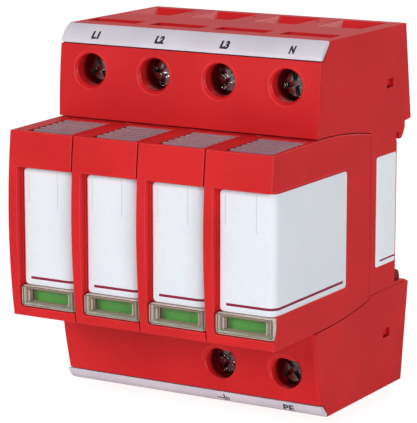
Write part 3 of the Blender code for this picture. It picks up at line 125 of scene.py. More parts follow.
class Value:
    """One output in a material's node tree, with the arithmetic that patterns need."""

    def __init__(self, tree, socket):
        self.tree = tree
        self.socket = socket

    def node(self, kind, settings=None, inputs=None, output=0):
        made = self.tree.nodes.new(kind)
        for name, setting in (settings or {}).items():
            if name == "stops":
                ramp = made.color_ramp.elements
                for place, (position, colour) in enumerate(setting):
                    stop = ramp[place] if place < 2 else ramp.new(position)
                    stop.position = position
                    stop.color = (*colour, 1)
            else:
                setattr(made, name, setting)
        for name, entry in (inputs or {}).items():
            if isinstance(entry, Value):
                self.tree.links.new(entry.socket, made.inputs[name])
            else:
                made.inputs[name].default_value = entry
        return Value(self.tree, made.outputs[output])

    def maths(self, operation, *others):
        inputs = dict(enumerate((self, *others)))
        return self.node("ShaderNodeMath", {"operation": operation}, inputs)

    def __add__(self, other):
        return self.maths("ADD", other)

    __radd__ = __add__

    def __sub__(self, other):
        return self.maths("SUBTRACT", other)

    def __rsub__(self, other):
        return self.node("ShaderNodeMath", {"operation": "SUBTRACT"}, {0: other, 1: self})

    def __mul__(self, other):
        return self.maths("MULTIPLY", other)

    def __truediv__(self, other):
        return self.maths("DIVIDE", other)

    def ramp_between(self, low, high, start=0.0, end=1.0):
        """Start below low, end above high, and a smooth step between them."""
        inputs = {"Value": self, "From Min": low, "From Max": high, "To Min": start, "To Max": end}
        return self.node("ShaderNodeMapRange", {"interpolation_type": "SMOOTHSTEP"}, inputs)

    def above(self, level, soft):
        """One above the level and nought below it, with a soft edge."""
        return self.ramp_between(level - soft, level + soft)

    def below(self, level, soft):
        """One below the level and nought above it, with a soft edge."""
        return self.ramp_between(level - soft, level + soft, 1.0, 0.0)

    def within(self, low, high, soft=0.03 * MM):
        """One between low and high, nought outside, with soft edges."""
        return self.above(low, soft) * self.below(high, soft)

    def tint(self, low, high):
        """A colour between two, by this value. Each is plain numbers or another value."""
        low, high = ((*colour, 1) if isinstance(colour, tuple) else colour for colour in (low, high))
        return self.node("ShaderNodeMix", {"data_type": "RGBA"}, {0: self, 6: low, 7: high}, output=2)

    def blended(self, first, second):
        """One shader turning into another, by this value."""
        return self.node("ShaderNodeMixShader", {}, {0: self, 1: first, 2: second})


def hypotenuse(across, rise):
    return (across * across + rise * rise).maths("SQRT")


class Finish:
    """A material under construction: its object coordinates, its shader and its surface relief."""

    def __init__(self, name, constants=None):
        self.material = bpy.data.materials.new(name)
        self.material.use_nodes = True
        self.tree = self.material.node_tree
        self.shader = self.tree.nodes["Principled BSDF"]
        for socket, value in (constants or {}).items():
            self.shader.inputs[socket].default_value = value
        place = self.tree.nodes.new("ShaderNodeTexCoord")
        self.place = Value(self.tree, place.outputs["Object"])
        split = self.tree.nodes.new("ShaderNodeSeparateXYZ")
        self.tree.links.new(place.outputs["Object"], split.inputs[0])
        self.x, self.y, self.z = (Value(self.tree, split.outputs[axis]) for axis in "XYZ")

    def noise(self, scale, detail, stretch=(1, 1, 1)):
        place = self.place.node("ShaderNodeMapping", {}, {"Vector": self.place, "Scale": stretch})
        return self.place.node("ShaderNodeTexNoise", {}, {"Vector": place, "Scale": scale, "Detail": detail})

    def local_x(self):
        """Distance from the middle of the pole that a point belongs to."""
        return (self.x - HALF_PITCH).maths("WRAP", HALF_PITCH, -HALF_PITCH)

    def from_screw(self):
        """Distance from the axis of the nearest clamp screw."""
        return hypotenuse(self.local_x(), self.z.maths("ABSOLUTE") - SCREW_HEIGHT)

    def rounded(self, radius, samples=6):
        """The surface direction with every sharp edge eased by a small radius."""
        return self.place.node("ShaderNodeBevel", {"samples": samples}, {"Radius": radius})

    def edges(self, eased):
        """High along outer and inner edges, where the eased direction leaves the face's own."""
        gain = 9.0
        geometry = self.tree.nodes.new("ShaderNodeNewGeometry")
        directions = {0: Value(self.tree, geometry.outputs["Normal"]), 1: eased}
        agree = self.place.node("ShaderNodeVectorMath", {"operation": "DOT_PRODUCT"}, directions, output=1)
        return ((1 - agree) * gain).maths("MINIMUM", 1.0)

    def relief(self, height, distance, strength, base=None):
        """A bump as high as the distance, on the base direction where there is one."""
        inputs = {"Height": height, "Distance": distance, "Strength": strength}
        if base:
            inputs["Normal"] = base
        return self.place.node("ShaderNodeBump", {}, inputs)

    def set(self, **values):
        """Links each value to the shader's socket of that name and gives the finished material."""
        for name, value in values.items():
            self.tree.links.new(value.socket, self.shader.inputs[name.replace("_", " ").title()])
        return self.material


# Plastics, films and metals


def dimmed(colour, share):
    return tuple(part * share for part in colour)


def rib_grooves(finish, colour, deep, lighter):
    """Painted shade between the ribs of a release key: the grooves drawn darker."""
    along = (finish.y - RIB_MIDDLE).maths("WRAP", RIB_PITCH / 2, -RIB_PITCH / 2)
    groove = 1 - along.within(-RIB_LAND, RIB_LAND, 0.15 * MM)
    return (groove * 0.45).tint(colour, dimmed(deep, 0.35))


def view_opening(finish, colour, deep, lighter):
    """Shade on the left wall of the opening behind the lens."""
    wall = finish.local_x().within(-4.90 * MM, -4.60 * MM) * finish.z.within(-20.0 * MM, -16.4 * MM)
    behind = finish.y.above(-60.65 * MM, 0.05 * MM)
    return (wall * behind * 0.9).tint(colour, dimmed(deep, 0.12))


def driver_holes(finish, colour, deep, lighter):
    """The driver holes of the clamp screws: painted highlights on their two lips, and painted shade deep in
    each hole.

    They are above on all poles, and below on the two right-hand ones.
    """
    radius = finish.from_screw()
    drilled = finish.z.above(0, 1 * MM).maths("MAXIMUM", finish.x.above(0, 1 * MM))
    front = finish.y.below(BLOCK_FRONT, 0.1 * MM) * drilled
    outer_lip, inner_lip = (radius.within(*lip, 0.06 * MM) for lip in HOLE_LIPS)
    # Painted shade: each hole drawn near black deep down, behind y = -37.9 mm, and on everything behind that
    # within the hole's radius, the rear cover's outer face included.
    painted_hole_shade = finish.y.above(-37.9 * MM, 1 * MM) * radius.below(HOLE_RADIUS, 0.05 * MM)
    # Painted highlights: the two lips of each hole drawn lighter, as rings of light.
    colour = ((outer_lip + inner_lip) * front * 0.55).tint(colour, lighter)
    return (painted_hole_shade * drilled * 0.85).tint(colour, dimmed(deep, 0.06))


def type_label(finish, colour):
    """The film of the type label on the right end wall, with rounded corners and a red rule."""
    beyond = [
        ((place - middle).maths("ABSOLUTE") - straight).maths("MAXIMUM", 0.0)
        for place, middle, straight in zip((finish.y, finish.z), FILM_MIDDLE, FILM_STRAIGHT)
    ]
    film = hypotenuse(*beyond).below(FILM_CORNER, 0.03 * MM) * finish.x.above(END_WALL, 0.025 * MM)
    rule = finish.z.within(-12.4 * MM, -11.95 * MM) * finish.y.above(-8.65 * MM, 0.05 * MM)
    cloudy = finish.noise(1800, 3.0) * 0.5 + finish.noise(70, 2.0) * 0.5
    paper = cloudy.ramp_between(0.35, 0.65).tint((0.78, 0.83, 0.88), (0.82, 0.87, 0.91))
    return film.tint(colour, rule.tint(paper, RULE_RED))


def base_features(finish, colour, deep, lighter):
    return type_label(finish, driver_holes(finish, colour, deep, lighter))


def moulded(name, deep, pale, roughness, ease=0.12 * MM, feature=None):
    """Injection moulded plastic: spark-eroded grain, flow clouds, lighter edges that are partly polish and
    partly a painted highlight, and fine scuffs.

    A feature is a function that adds its own colours to the moulding's.
    """
    finish = Finish(name, {"Specular IOR Level": 0.2})
    clouds = finish.noise(55, 3.0)
    speckle = finish.noise(1500, 2.0)
    scuffs = finish.noise(420, 5.0, stretch=(1, 1, 5)).ramp_between(0.62, 0.72)
    eased = finish.rounded(ease)
    edge_band = finish.edges(eased)
    colour = (clouds * 0.7 + speckle * 0.3).ramp_between(0.35, 0.65).tint(deep, pale)
    lighter = tuple(min(1, part * 1.35 + 0.04) for part in pale)
    # Lighter edges: partly polish, partly a painted edge highlight.
    colour = (edge_band * 0.7).tint(colour, lighter)
    if feature:
        colour = feature(finish, colour, deep, lighter)
    rough = clouds * 0.10 + (roughness - 0.05) - edge_band * 0.08 + scuffs * 0.05
    normal = finish.relief(finish.noise(3200, 1.0), 0.012 * MM, 0.55, eased)
    return finish.set(base_color=colour, roughness=rough, normal=normal)


def strip_finish():
    """Smooth white moulding of the marking strips, a little dulled by handling."""
    finish = Finish("white_strip")
    clouds = finish.noise(90, 3.0)
    dust = finish.noise(900, 4.0).ramp_between(0.60, 0.75)
    eased = finish.rounded(0.15 * MM)
    colour = clouds.ramp_between(0.3, 0.7).tint((0.57, 0.53, 0.60), (0.63, 0.59, 0.66))
    colour = (dust * 0.12).tint(colour, (0.42, 0.39, 0.42))
    normal = finish.relief(finish.noise(2600, 1.0), 0.006 * MM, 0.5, eased)
    return finish.set(base_color=colour, roughness=clouds * 0.12 + 0.30, normal=normal)


def label_finish():
    """Coated film of the module labels: white, with a red rule and two hairlines in print."""
    finish = Finish("module_label", {"Specular IOR Level": 0.4})
    fibre = finish.noise(1800, 3.0)
    clouds = finish.noise(70, 2.0)
    across = finish.local_x()
    side = finish.y.above(-60.8 * MM, 0.1 * MM)
    rule = finish.z.within(-13.94 * MM, -13.30 * MM) * across.above(-4.10 * MM, 0.05 * MM)
    rule = rule * finish.y.below(-27.85 * MM, 0.05 * MM)
    hair_left = across.within(-4.38 * MM, -4.26 * MM) * finish.z.within(4.8 * MM, 12.0 * MM)
    hair_right = across.within(3.70 * MM, 3.82 * MM) * finish.z.within(3.6 * MM, 12.6 * MM)
    hairs = (hair_left + hair_right) * (1 - side)
    cloudy = (fibre * 0.5 + clouds * 0.5).ramp_between(0.35, 0.65)
    paper = cloudy.tint((0.70, 0.74, 0.80), (0.74, 0.78, 0.83))
    colour = (hairs * 0.75).tint(paper, (0.36, 0.36, 0.45))
    colour = rule.tint(colour, RULE_RED)
    normal = finish.relief(fibre, 0.003 * MM, 0.4)
    return finish.set(base_color=colour, roughness=fibre * 0.1 + 0.36 - rule * 0.06, normal=normal)


def ink_finish():
    """Printed marks: near-black ink with slightly broken edges."""
    finish = Finish("mark_ink", {"Specular IOR Level": 0.3})
    grain = finish.noise(2200, 2.0)
    colour = grain.ramp_between(0.3, 0.7).tint((0.012, 0.012, 0.02), (0.035, 0.033, 0.045))
    normal = finish.relief(grain, 0.004 * MM, 0.4)
    return finish.set(base_color=colour, roughness=grain * 0.15 + 0.38, normal=normal)


def lens_finish():
    """Clear moulding over the flag: an open pane in a stepped rim with painted bands of reflection and
    shade, and a painted green of the flag low on the rim.
    """
    finish = Finish("clear_lens", {"Specular IOR Level": 0.6, "IOR": 1.55})
    across = finish.local_x()
    left, right, low, high = LENS_PANE
    pane = across.within(left, right, 0.08 * MM) * finish.z.within(low, high, 0.08 * MM)
    flow = finish.noise(260, 3.0, stretch=(0.4, 1, 1))
    wipe = finish.noise(700, 4.0, stretch=(0.3, 1, 2)).ramp_between(0.55, 0.75)
    eased = finish.rounded(0.14 * MM)
    left, right, low, high = LENS_RIM
    inward = (across - left).maths("MINIMUM", right - across)
    upward = (finish.z - low).maths("MINIMUM", high - finish.z) / 0.7
    rim = inward.maths("MINIMUM", upward) / RIM_WIDTH + (flow - 0.5) * 0.12
    # Painted reflections and shade: the rim coloured in light and dark bands from its edges inwards.
    colour = rim.node("ShaderNodeValToRGB", {"stops": RIM_PAINTED_LIGHT}, {0: rim})
    # Painted reflection: the green of the flag drawn into the rim's foot, as if seen through it.
    painted_flag_tint = finish.z.within(-20.2 * MM, -19.45 * MM, 0.12 * MM) * 0.32
    colour = painted_flag_tint.tint(colour, (0.16, 0.32, 0.17))
    alpha = (0.72 - wipe * 0.14) * (1 - pane) + pane * (0.03 + wipe * 0.05)
    normal = finish.relief(flow, 0.012 * MM, 0.35, eased)
    return finish.set(base_color=colour, alpha=alpha, roughness=wipe * 0.10 + 0.08, normal=normal)


def metal(name, dark, bright, roughness, direction=(1, 1, 14)):
    """Plated strip and sheet: drawn lines one way, blotches in the plating and bright edges."""
    finish = Finish(name, {"Metallic": 1.0})
    lines = finish.noise(700, 4.0, stretch=direction)
    blotch = finish.noise(160, 4.0)
    eased = finish.rounded(0.08 * MM, 4)
    edge_band = finish.edges(eased)
    colour = (blotch * 0.6 + lines * 0.4).ramp_between(0.35, 0.65).tint(dark, bright)
    rough = lines * 0.16 + blotch * 0.10 + (roughness - 0.13) - edge_band * 0.05
    normal = finish.relief(lines, 0.004 * MM, 0.5, eased)
    return finish.set(base_color=colour, roughness=rough, normal=normal)


def screw_finish():
    """Zinc on the clamp screws, with painted glints along the edges, and the rings that turning leaves on
    the head.
    """
    finish = Finish("clamp_screw_zinc", {"Metallic": 1.0})
    rings = (finish.from_screw() * 16000).maths("SINE") * 0.5 + 0.5
    blotch = finish.noise(380, 4.0)
    eased = finish.rounded(0.14 * MM, 4)
    edge_band = finish.edges(eased)
    colour = blotch.ramp_between(0.3, 0.7).tint((0.20, 0.20, 0.21), (0.42, 0.41, 0.41))
    # Painted glints: the edges drawn near white.
    colour = edge_band.tint(colour, (0.95, 0.93, 0.92))
    normal = finish.relief(rings * 0.6 + blotch * 0.4, 0.004 * MM, 0.4, eased)
    return finish.set(base_color=colour, roughness=blotch * 0.10 + 0.08, normal=normal)


def varistor_finish():
    """Dipped epoxy: glossy, uneven and slightly dimpled."""
    finish = Finish("varistor_epoxy", {"Coat Weight": 0.3})
    waves = finish.noise(260, 3.0)
    pits = finish.noise(1500, 3.0)
    colour = waves.ramp_between(0.3, 0.7).tint((0.03, 0.09, 0.25), (0.06, 0.15, 0.36))
    normal = finish.relief(waves * 0.8 + pits * 0.2, 0.06 * MM, 0.5)
    return finish.set(base_color=colour, roughness=pits * 0.2 + 0.22, normal=normal)


# Finishes, and the nodes and pieces that wear them

RULE_RED = (0.25, 0.005, 0.042)
# Painted reflections and shade on the lens rim: light and dark bands, by distance in from its edges.
RIM_PAINTED_LIGHT = (
    (0.00, (0.84, 0.75, 0.67)),
    (0.09, (0.70, 0.62, 0.55)),
    (0.16, (0.14, 0.115, 0.09)),
    (0.29, (0.24, 0.19, 0.15)),
    (0.36, (0.70, 0.62, 0.55)),
    (0.43, (0.40, 0.31, 0.26)),
    (0.62, (0.19, 0.14, 0.10)),
    (0.80, (0.40, 0.32, 0.26)),
    (0.88, (0.74, 0.66, 0.59)),
)
BRIGHT_RED = ((0.560, 0.0100, 0.0130), (0.630, 0.0135, 0.0165))
RED = moulded("signal_red_moulding", *BRIGHT_RED, 0.42, feature=base_features)
MODULE_RED = moulded("module_red_moulding", *BRIGHT_RED, 0.42, ease=0.40 * MM, feature=view_opening)
# Painted shade: the rail latch and the back plates wear a darker copy of the housing's red, the latch's red
# as it looks in shadow.
LATCH_SHADED_RED = ((0.20, 0.008, 0.010), (0.27, 0.012, 0.014))
SHADED_RED = moulded("dark_red_moulding", *LATCH_SHADED_RED, 0.45)
KEY_GREY = ((0.33, 0.200, 0.232), (0.41, 0.255, 0.290))
GREY = moulded("grey_key_moulding", *KEY_GREY, 0.42, feature=rib_grooves)
FLAG_GREEN = ((0.050, 0.33, 0.034), (0.068, 0.40, 0.044))
GREEN = moulded("green_flag_moulding", *FLAG_GREEN, 0.36)
WHITE = strip_finish()
LABEL = label_finish()
INK = ink_finish()
LENS = lens_finish()
TIN = metal("tinned_copper_strip", (0.55, 0.53, 0.49), (0.76, 0.74, 0.70), 0.30)
ZINC = metal("zinc_sheet", (0.42, 0.43, 0.45), (0.66, 0.66, 0.66), 0.32, direction=(14, 1, 1))
SPRING_STEEL = metal("spring_wire_steel", (0.40, 0.40, 0.41), (0.60, 0.60, 0.60), 0.28)
COPPER = metal("spring_copper_strip", (0.55, 0.24, 0.12), (0.76, 0.40, 0.24), 0.28, direction=(1, 14, 1))
SCREW_ZINC = screw_finish()
VARISTOR = varistor_finish()

NODE_FINISHES = {
    "base_housing": RED,
    "rear_cover": RED,
    "rail_latch": SHADED_RED,
    "top_marking_strip": WHITE,
    "bottom_marking_strip": WHITE,
    "earth_busbar": TIN,
    "latch_spring": SPRING_STEEL,
}
ENDING_FINISHES = {
    "housing": MODULE_RED,
    "back_plate": SHADED_RED,
    "window": LENS,
    "varistor": VARISTOR,
    "blade": TIN,
    "release_key": GREY,
    "indicator_flag": GREEN,
    "disconnector_arm": COPPER,
    "clamp_screw": SCREW_ZINC,
    "clamp_cage": ZINC,
}


def finish_for(node):
    """The finish of a node by its own name, or else by how its name begins or ends."""
    if node in NODE_FINISHES:
        return NODE_FINISHES[node]
    if node.startswith("line_contact"):
        return TIN
    return next(finish for ending, finish in ENDING_FINISHES.items() if node.endswith(ending))


for node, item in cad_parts.items():
    for slot in item.material_slots:
        slot.material = finish_for(node)


# Modelling steps


def only(item):
    """Leaves just this object selected and active."""
    bpy.ops.object.select_all(action="DESELECT")
    item.select_set(True)
    bpy.context.view_layer.objects.active = item


def pick(item, kind, wanted):
    """Edit mode, with only the wanted edges or faces selected."""
    only(item)
    bpy.ops.object.mode_set(mode="EDIT")
    bpy.ops.mesh.select_mode(type=kind)
    bpy.ops.mesh.select_all(action="DESELECT")
    shape = bmesh.from_edit_mesh(item.data)
    for element in {"EDGE": shape.edges, "FACE": shape.faces}[kind]:
        if wanted(element):
            element.select_set(True)
    bmesh.update_edit_mesh(item.data)


def done():
    bpy.ops.object.mode_set(mode="OBJECT")


def into_mesh():
    """Works the selected object's place, turn and scale into its mesh."""
    bpy.ops.object.transform_apply(location=True, rotation=True, scale=True)


def started(name):
    """The primitive that was just added, named and with its place, turn and scale in its mesh."""
    item = bpy.context.object
    item.name = name
    into_mesh()
    return item


def settled(item, angle=35):
    """Place, turn and scale go into the mesh, faces point outwards, and soft corners shade smooth."""
    only(item)
    into_mesh()
    pick(item, "FACE", lambda face: True)
    bpy.ops.mesh.remove_doubles(threshold=0.001 * MM)
    bpy.ops.mesh.normals_make_consistent(inside=False)
    done()
    bpy.ops.object.shade_smooth_by_angle(angle=math.radians(angle))
    return item


def block(name, low, high):
    """A box primitive at its size and place."""
    size = [top - bottom for bottom, top in zip(low, high)]
    middle = [(top + bottom) / 2 for bottom, top in zip(low, high)]
    bpy.ops.object.select_all(action="DESELECT")
    bpy.ops.mesh.primitive_cube_add(size=1, location=middle, scale=size)
    return started(name)


def middle_of(edge):
    return (edge.verts[0].co + edge.verts[1].co) / 2


def runs_along(edge, axis):
    across = edge.verts[1].co - edge.verts[0].co
    return abs(across.normalized()[axis]) > 0.99


def round_off(item, wanted, radius, segments):
    """Bevels the wanted edges."""
    pick(item, "EDGE", wanted)
    bpy.ops.mesh.bevel(offset=radius, segments=segments, affect="EDGES")
    done()


def copy_of(item, name, shift):
    """A copy with a mesh of its own, moved by shift."""
    twin = item.copy()
    twin.data = item.data.copy()
    twin.name = name
    twin.data.transform(Matrix.Translation(shift))
    bpy.context.scene.collection.objects.link(twin)
    return twin


def dress(item, finish, body, slot, *nodes):
    """Gives a finished piece its material and the body it rides on, and hides the nodes it stands for. Its
    slot is not used.
    """
    item.data.materials.clear()
    item.data.materials.append(finish)
    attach(item, body)
    if nodes:
        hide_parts(*nodes)


def on_each_module(first, kind, finish, slot, *endings):
    """Dresses the first module's piece and copies of it for the others.

    Endings are those of the nodes that the pieces stand for.
    """
    for name, x in MODULES:
        item = first if name == "module_1" else copy_of(first, f"{name}_{kind}", (x - POLES[0], 0, 0))
        dress(item, finish, name, slot, *(f"{name}_{ending}" for ending in endings))


# Labels


def module_label():
    """A thin sticker on the first module's front, turned round its right corner and along the side."""
    left, right = POLES[0] - 5.65 * MM, POLES[0] + 6.3 * MM
    inner_front, outer_front = -61.22 * MM, -61.36 * MM
    low, high = -15.32 * MM, 13.0 * MM
    turn = (right, -59.0 * MM, 0)
    side_length = 32.6 * MM
    corner = 1.0 * MM
    near = 0.05 * MM
    label = block("module_1_label", (left, outer_front, low), (right, inner_front, high))
    pick(label, "FACE", lambda face: face.normal.x > 0.9)
    bpy.ops.mesh.spin(steps=8, angle=math.radians(-90), center=turn, axis=(0, 0, 1))
    bpy.ops.mesh.extrude_region_move(TRANSFORM_OT_translate={"value": (0, side_length, 0)})
    done()
    round_off(label, lambda edge: runs_along(edge, 1) and middle_of(edge).x < left + near, corner, 4)
    rear = max(vertex.co.y for vertex in label.data.vertices)
    round_off(label, lambda edge: runs_along(edge, 0) and middle_of(edge).y > rear - near, corner, 4)
    return settled(label)


on_each_module(module_label(), "label", LABEL, "white_plastic")


# Window lenses


def window_lens():
    """The first module's lens from its CAD form, with every rim and step rounded over."""
    lens = bpy.data.objects.new("module_1_lens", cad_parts["module_1_window"].data.copy())
    bpy.context.scene.collection.objects.link(lens)
    pick(lens, "FACE", lambda face: True)
    bpy.ops.mesh.remove_doubles(threshold=0.01 * MM)
    bpy.ops.mesh.dissolve_limited(angle_limit=math.radians(2))
    done()
    round_off(lens, lambda edge: edge.calc_face_angle(0) > math.radians(40), 0.14 * MM, 2)
    return settled(lens)


on_each_module(window_lens(), "lens", LENS, "clear_plastic", "window")


# Latch spring


def latch_coil():
    """Round wire wound to the latch spring's size."""
    corners = [vertex.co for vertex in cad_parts["latch_spring"].data.vertices]
    low, high = min(corner.z for corner in corners), max(corner.z for corner in corners)
    middle = (min(corner.y for corner in corners) + max(corner.y for corner in corners)) / 2
    length = high - low
    bpy.ops.object.select_all(action="DESELECT")
    bpy.ops.mesh.primitive_circle_add(
        vertices=14,
        radius=WIRE / 2,
        location=(COIL_RADIUS, 0, WIRE / 2),
        rotation=(math.radians(90), 0, 0),
    )
    coil = started("latch_coil")
    winding = coil.modifiers.new("winding", "SCREW")
    winding.iterations = COIL_TURNS
    winding.screw_offset = (length - WIRE) / COIL_TURNS
    winding.steps = winding.render_steps = 32
    bpy.ops.object.modifier_apply(modifier="winding")
    pick(coil, "EDGE", lambda edge: edge.is_boundary)
    bpy.ops.mesh.fill_holes(sides=0)
    done()
    coil.data.transform(Matrix.Translation((0, middle, low)))
    dress(settled(coil), SPRING_STEEL, "base", "zinc_steel", "latch_spring")
    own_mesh(coil)


latch_coil()


# Clamp screws


def clamp_screw():
    """The first line terminal's screw: a rounded head with a crossed recess, a shank and its tip."""
    low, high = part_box("line_1_clamp_screw")
    x, z = (low.x + high.x) / 2, (low.z + high.z) / 2
    head_radius, head_length, head_round = 3.4 * MM, 3.0 * MM, 0.5 * MM
    shoulder, tip_length, tip_share = 1.0 * MM, 0.8 * MM, 0.7
    bpy.ops.object.select_all(action="DESELECT")
    bpy.ops.mesh.primitive_cylinder_add(
        vertices=48,
        radius=head_radius,
        depth=head_length,
        location=(x, low.y + head_length / 2, z),
        rotation=(math.radians(90), 0, 0),
    )
    screw = started("screw_pattern")
    shank_length = high.y - low.y - head_length - tip_length
    pick(screw, "FACE", lambda face: face.normal.y > 0.9)
    bpy.ops.mesh.inset(thickness=shoulder, depth=0)
    bpy.ops.mesh.extrude_region_move(TRANSFORM_OT_translate={"value": (0, shank_length, 0)})
    bpy.ops.mesh.extrude_region_move(TRANSFORM_OT_translate={"value": (0, tip_length, 0)})
    bpy.ops.transform.resize(value=(tip_share, 1, tip_share), center_override=(x, high.y, z))
    done()
    front, axis = low.y + 0.05 * MM, Vector((x, z))

    def rims_head(edge):
        return middle_of(edge).y < front and (middle_of(edge).xz - axis).length > 3 * MM

    round_off(screw, rims_head, head_round, 4)
    recesses = []
    for turn, width, length, depth in RECESSES:
        slot = block(
            f"recess_{turn}",
            (x - length / 2, low.y - 1 * MM, z - width / 2),
            (x + length / 2, low.y + depth, z + width / 2),
        )
        turned = Matrix.Translation((x, 0, z)) @ Matrix.Rotation(math.radians(turn), 4, "Y")
        slot.data.transform(turned @ Matrix.Translation((-x, 0, -z)))
        recesses.append(slot)
    for slot in recesses:
        only(screw)
        cutter = screw.modifiers.new(slot.name, "BOOLEAN")
        cutter.operation = "DIFFERENCE"
        cutter.solver = "EXACT"
        cutter.object = slot
        bpy.ops.object.modifier_apply(modifier=cutter.name)
        bpy.data.objects.remove(slot)
    return settled(screw, angle=30)


first_screw = clamp_screw()
for name, x, side in CLAMPS:
    height = side * SCREW_HEIGHT
    screw = copy_of(first_screw, f"{name}_screw", (x - POLES[0], 0, height - SCREW_HEIGHT))
    turned = Matrix.Rotation(math.radians(SCREW_TURNS[name]), 4, "Y")
    screw.data.transform(Matrix.Translation((x, 0, height)) @ turned @ Matrix.Translation((-x, 0, -height)))
    dress(screw, SCREW_ZINC, f"{name}_screw", "zinc_steel", f"{name}_clamp_screw")
bpy.data.objects.remove(first_screw)


# Printed terminal marks


def printed(mark, x, strip):
    """Wraps a flat mark, cut into narrow rows, round a strip's curve and gives it print's thickness."""
    row_height = 0.3 * MM
    for row in range(-4, 5):
        pick(mark, "FACE", lambda face: True)
        bpy.ops.mesh.bisect(plane_co=(0, row * row_height, 0), plane_no=(0, 1, 0))
        done()
    slope, middle = STRIP_PLACES[strip]
    mark.location = (x, *middle)
    mark.rotation_euler = (math.radians(slope), 0, 0)
    wrap = mark.modifiers.new("wrap", "SHRINKWRAP")
    wrap.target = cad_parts[strip]
    wrap.wrap_method = "PROJECT"
    wrap.use_project_z = True
    wrap.use_positive_direction = False
    wrap.use_negative_direction = True
    wrap.offset = 0.02 * MM
    skin = mark.modifiers.new("skin", "SOLIDIFY")
    skin.thickness = 0.04 * MM
    skin.offset = 0
    only(mark)
    for modifier in ("wrap", "skin"):
        bpy.ops.object.modifier_apply(modifier=modifier)
    into_mesh()
    dress(mark, INK, "base", "grey_plastic")


def letters(name, words, x, strip, width, heft):
    """Slanted capitals. Width squeezes them, and heft thickens their strokes."""
    bpy.ops.object.select_all(action="DESELECT")
    bpy.ops.object.text_add()
    mark = bpy.context.object
    mark.name = name
    mark.data.body = words
    mark.data.size = 2.7 * MM
    mark.data.align_x = "CENTER"
    mark.data.align_y = "CENTER"
    mark.data.shear = 0.12
    mark.data.resolution_u = 3
    mark.data.offset = heft
    bpy.ops.object.convert(target="MESH")
    mark = bpy.context.object
    mark.scale.x = width
    printed(mark, x, strip)


def earth_sign(name, x, strip):
    """The earth sign: a stem and three bars, kept from a fine grid."""
    cell, columns, rows = 0.28 * MM, 13, 9
    bars = {1: 4, 3: 2, 5: 1}
    bpy.ops.object.select_all(action="DESELECT")
    bpy.ops.mesh.primitive_grid_add(x_subdivisions=columns, y_subdivisions=rows, size=1)
    bpy.context.object.scale = (columns * cell, rows * cell, 1)
    sign = started(name)

    def spare(face):
        """Neither on the stem, along the middle row, nor on a bar, each so many cells high."""
        column = round(face.calc_center_median().x / cell)
        row = abs(round(face.calc_center_median().y / cell))
        return not (row == 0 and column < 1 or column in bars and row <= bars[column])

    pick(sign, "FACE", spare)
    bpy.ops.mesh.delete(type="FACE")
    done()
    printed(sign, x, strip)


top_marks = zip(("L1", "L2", "L3", "N"), POLES, (0.91, 0.91, 0.91, 0.70))
for number, (words, x, width) in enumerate(top_marks, 1):
    letters(f"top_mark_{number}", words, x + 0.65 * MM, "top_marking_strip", width, 0.16 * MM)
earth_sign("bottom_mark_1", 8.8 * MM, "bottom_marking_strip")
letters("bottom_mark_2", "PE", 26.5 * MM, "bottom_marking_strip", 1.1, 0.06 * MM)


# Floor, light and camera


def floor():
    """Pale and faintly shadowed, below the latch's lowest place, and clear to an eye underneath."""
    bpy.ops.object.select_all(action="DESELECT")
    bpy.ops.mesh.primitive_plane_add(size=FLOOR_SIZE, location=(0, 0, FLOOR_LEVEL))
    ground = bpy.context.object
    ground.name = "floor"
    material = bpy.data.materials.new("studio_floor")
    material.use_nodes = True
    tree = material.node_tree
    tree.nodes.clear()
    path = tree.nodes.new("ShaderNodeLightPath")
    seen, mirrored = (Value(tree, path.outputs[name]) for name in ("Is Camera Ray", "Is Glossy Ray"))
    paint = seen.node("ShaderNodeBsdfDiffuse", {}, {"Color": (0.90, 0.90, 0.90, 1)})
    shade = seen.node("ShaderNodeBsdfDiffuse", {}, {"Color": (0.30, 0.30, 0.30, 1)})
    glow = seen.node("ShaderNodeEmission", {}, {"Color": (1, 1, 1, 1), "Strength": 1.15})
    lit = (mirrored * 0.85).blended(paint, shade)
    bounce = (1 - seen) * (1 - mirrored) * 0.45
    upper = (seen * 0.80 + bounce).blended(lit, glow)
    sides = tree.nodes.new("ShaderNodeNewGeometry")
    under = Value(tree, sides.outputs["Backfacing"]) * seen
    surface = under.blended(upper, seen.node("ShaderNodeBsdfTransparent"))
    ending = tree.nodes.new("ShaderNodeOutputMaterial")
    tree.links.new(surface.socket, ending.inputs["Surface"])
    ground.data.materials.append(material)


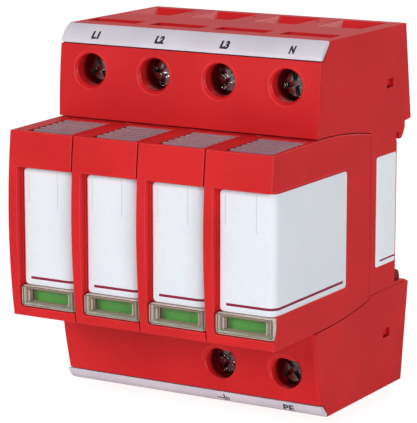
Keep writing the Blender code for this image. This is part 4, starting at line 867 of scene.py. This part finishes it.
def lamp(name, place, power):
    """A soft round lamp, turned to the object."""
    light = bpy.data.lights.new(name, "AREA")
    light.shape = "DISK"
    light.size = LAMP_SIZE
    light.energy = power
    item = bpy.data.objects.new(name, light)
    bpy.context.scene.collection.objects.link(item)
    item.location = place
    item.rotation_euler = (Vector(place) - Vector(LAMP_AIM)).to_track_quat("Z", "Y").to_euler()


def studio():
    """White to the eye; for reflections bright behind the object and dark in front of it."""
    world = bpy.data.worlds.new("studio")
    bpy.context.scene.world = world
    world.use_nodes = True
    tree = world.node_tree
    tree.nodes.clear()
    path = tree.nodes.new("ShaderNodeLightPath")
    rays = ("Is Camera Ray", "Is Glossy Ray", "Is Transmission Ray")
    eye, glossy, clear = (Value(tree, path.outputs[ray]) for ray in rays)
    direction = tree.nodes.new("ShaderNodeTexCoord")
    split = tree.nodes.new("ShaderNodeSeparateXYZ")
    tree.links.new(direction.outputs["Generated"], split.inputs[0])
    behind = Value(tree, split.outputs["Y"]).ramp_between(0.1, 0.85, 0.04, 0.46)
    seen = eye.maths("MAXIMUM", clear)
    strength = seen + (1 - seen) * (glossy * behind + (1 - glossy) * AMBIENT)
    sky = eye.node("ShaderNodeBackground", {}, {"Color": (1, 1, 1, 1), "Strength": strength})
    ending = tree.nodes.new("ShaderNodeOutputWorld")
    tree.links.new(sky.socket, ending.inputs["Surface"])
    for name, place, power in LAMPS:
        lamp(name, place, power)


def camera():
    """The photograph's point of view."""
    azimuth, elevation = math.radians(CAMERA_AZIMUTH), math.radians(CAMERA_ELEVATION)
    eye = bpy.data.cameras.new("camera")
    eye.sensor_fit = "VERTICAL"
    eye.sensor_height = SENSOR_HEIGHT
    eye.lens = FOCAL_PIXELS / PICTURE_HEIGHT * SENSOR_HEIGHT
    eye.clip_start = 0.01
    item = bpy.data.objects.new("camera", eye)
    item.location = CAMERA_PLACE
    item.rotation_euler = (math.radians(90) - elevation, 0, azimuth)
    bpy.context.scene.collection.objects.link(item)
    bpy.context.scene.camera = item


floor()
studio()
camera()
bpy.context.scene.view_settings.view_transform = "Standard"
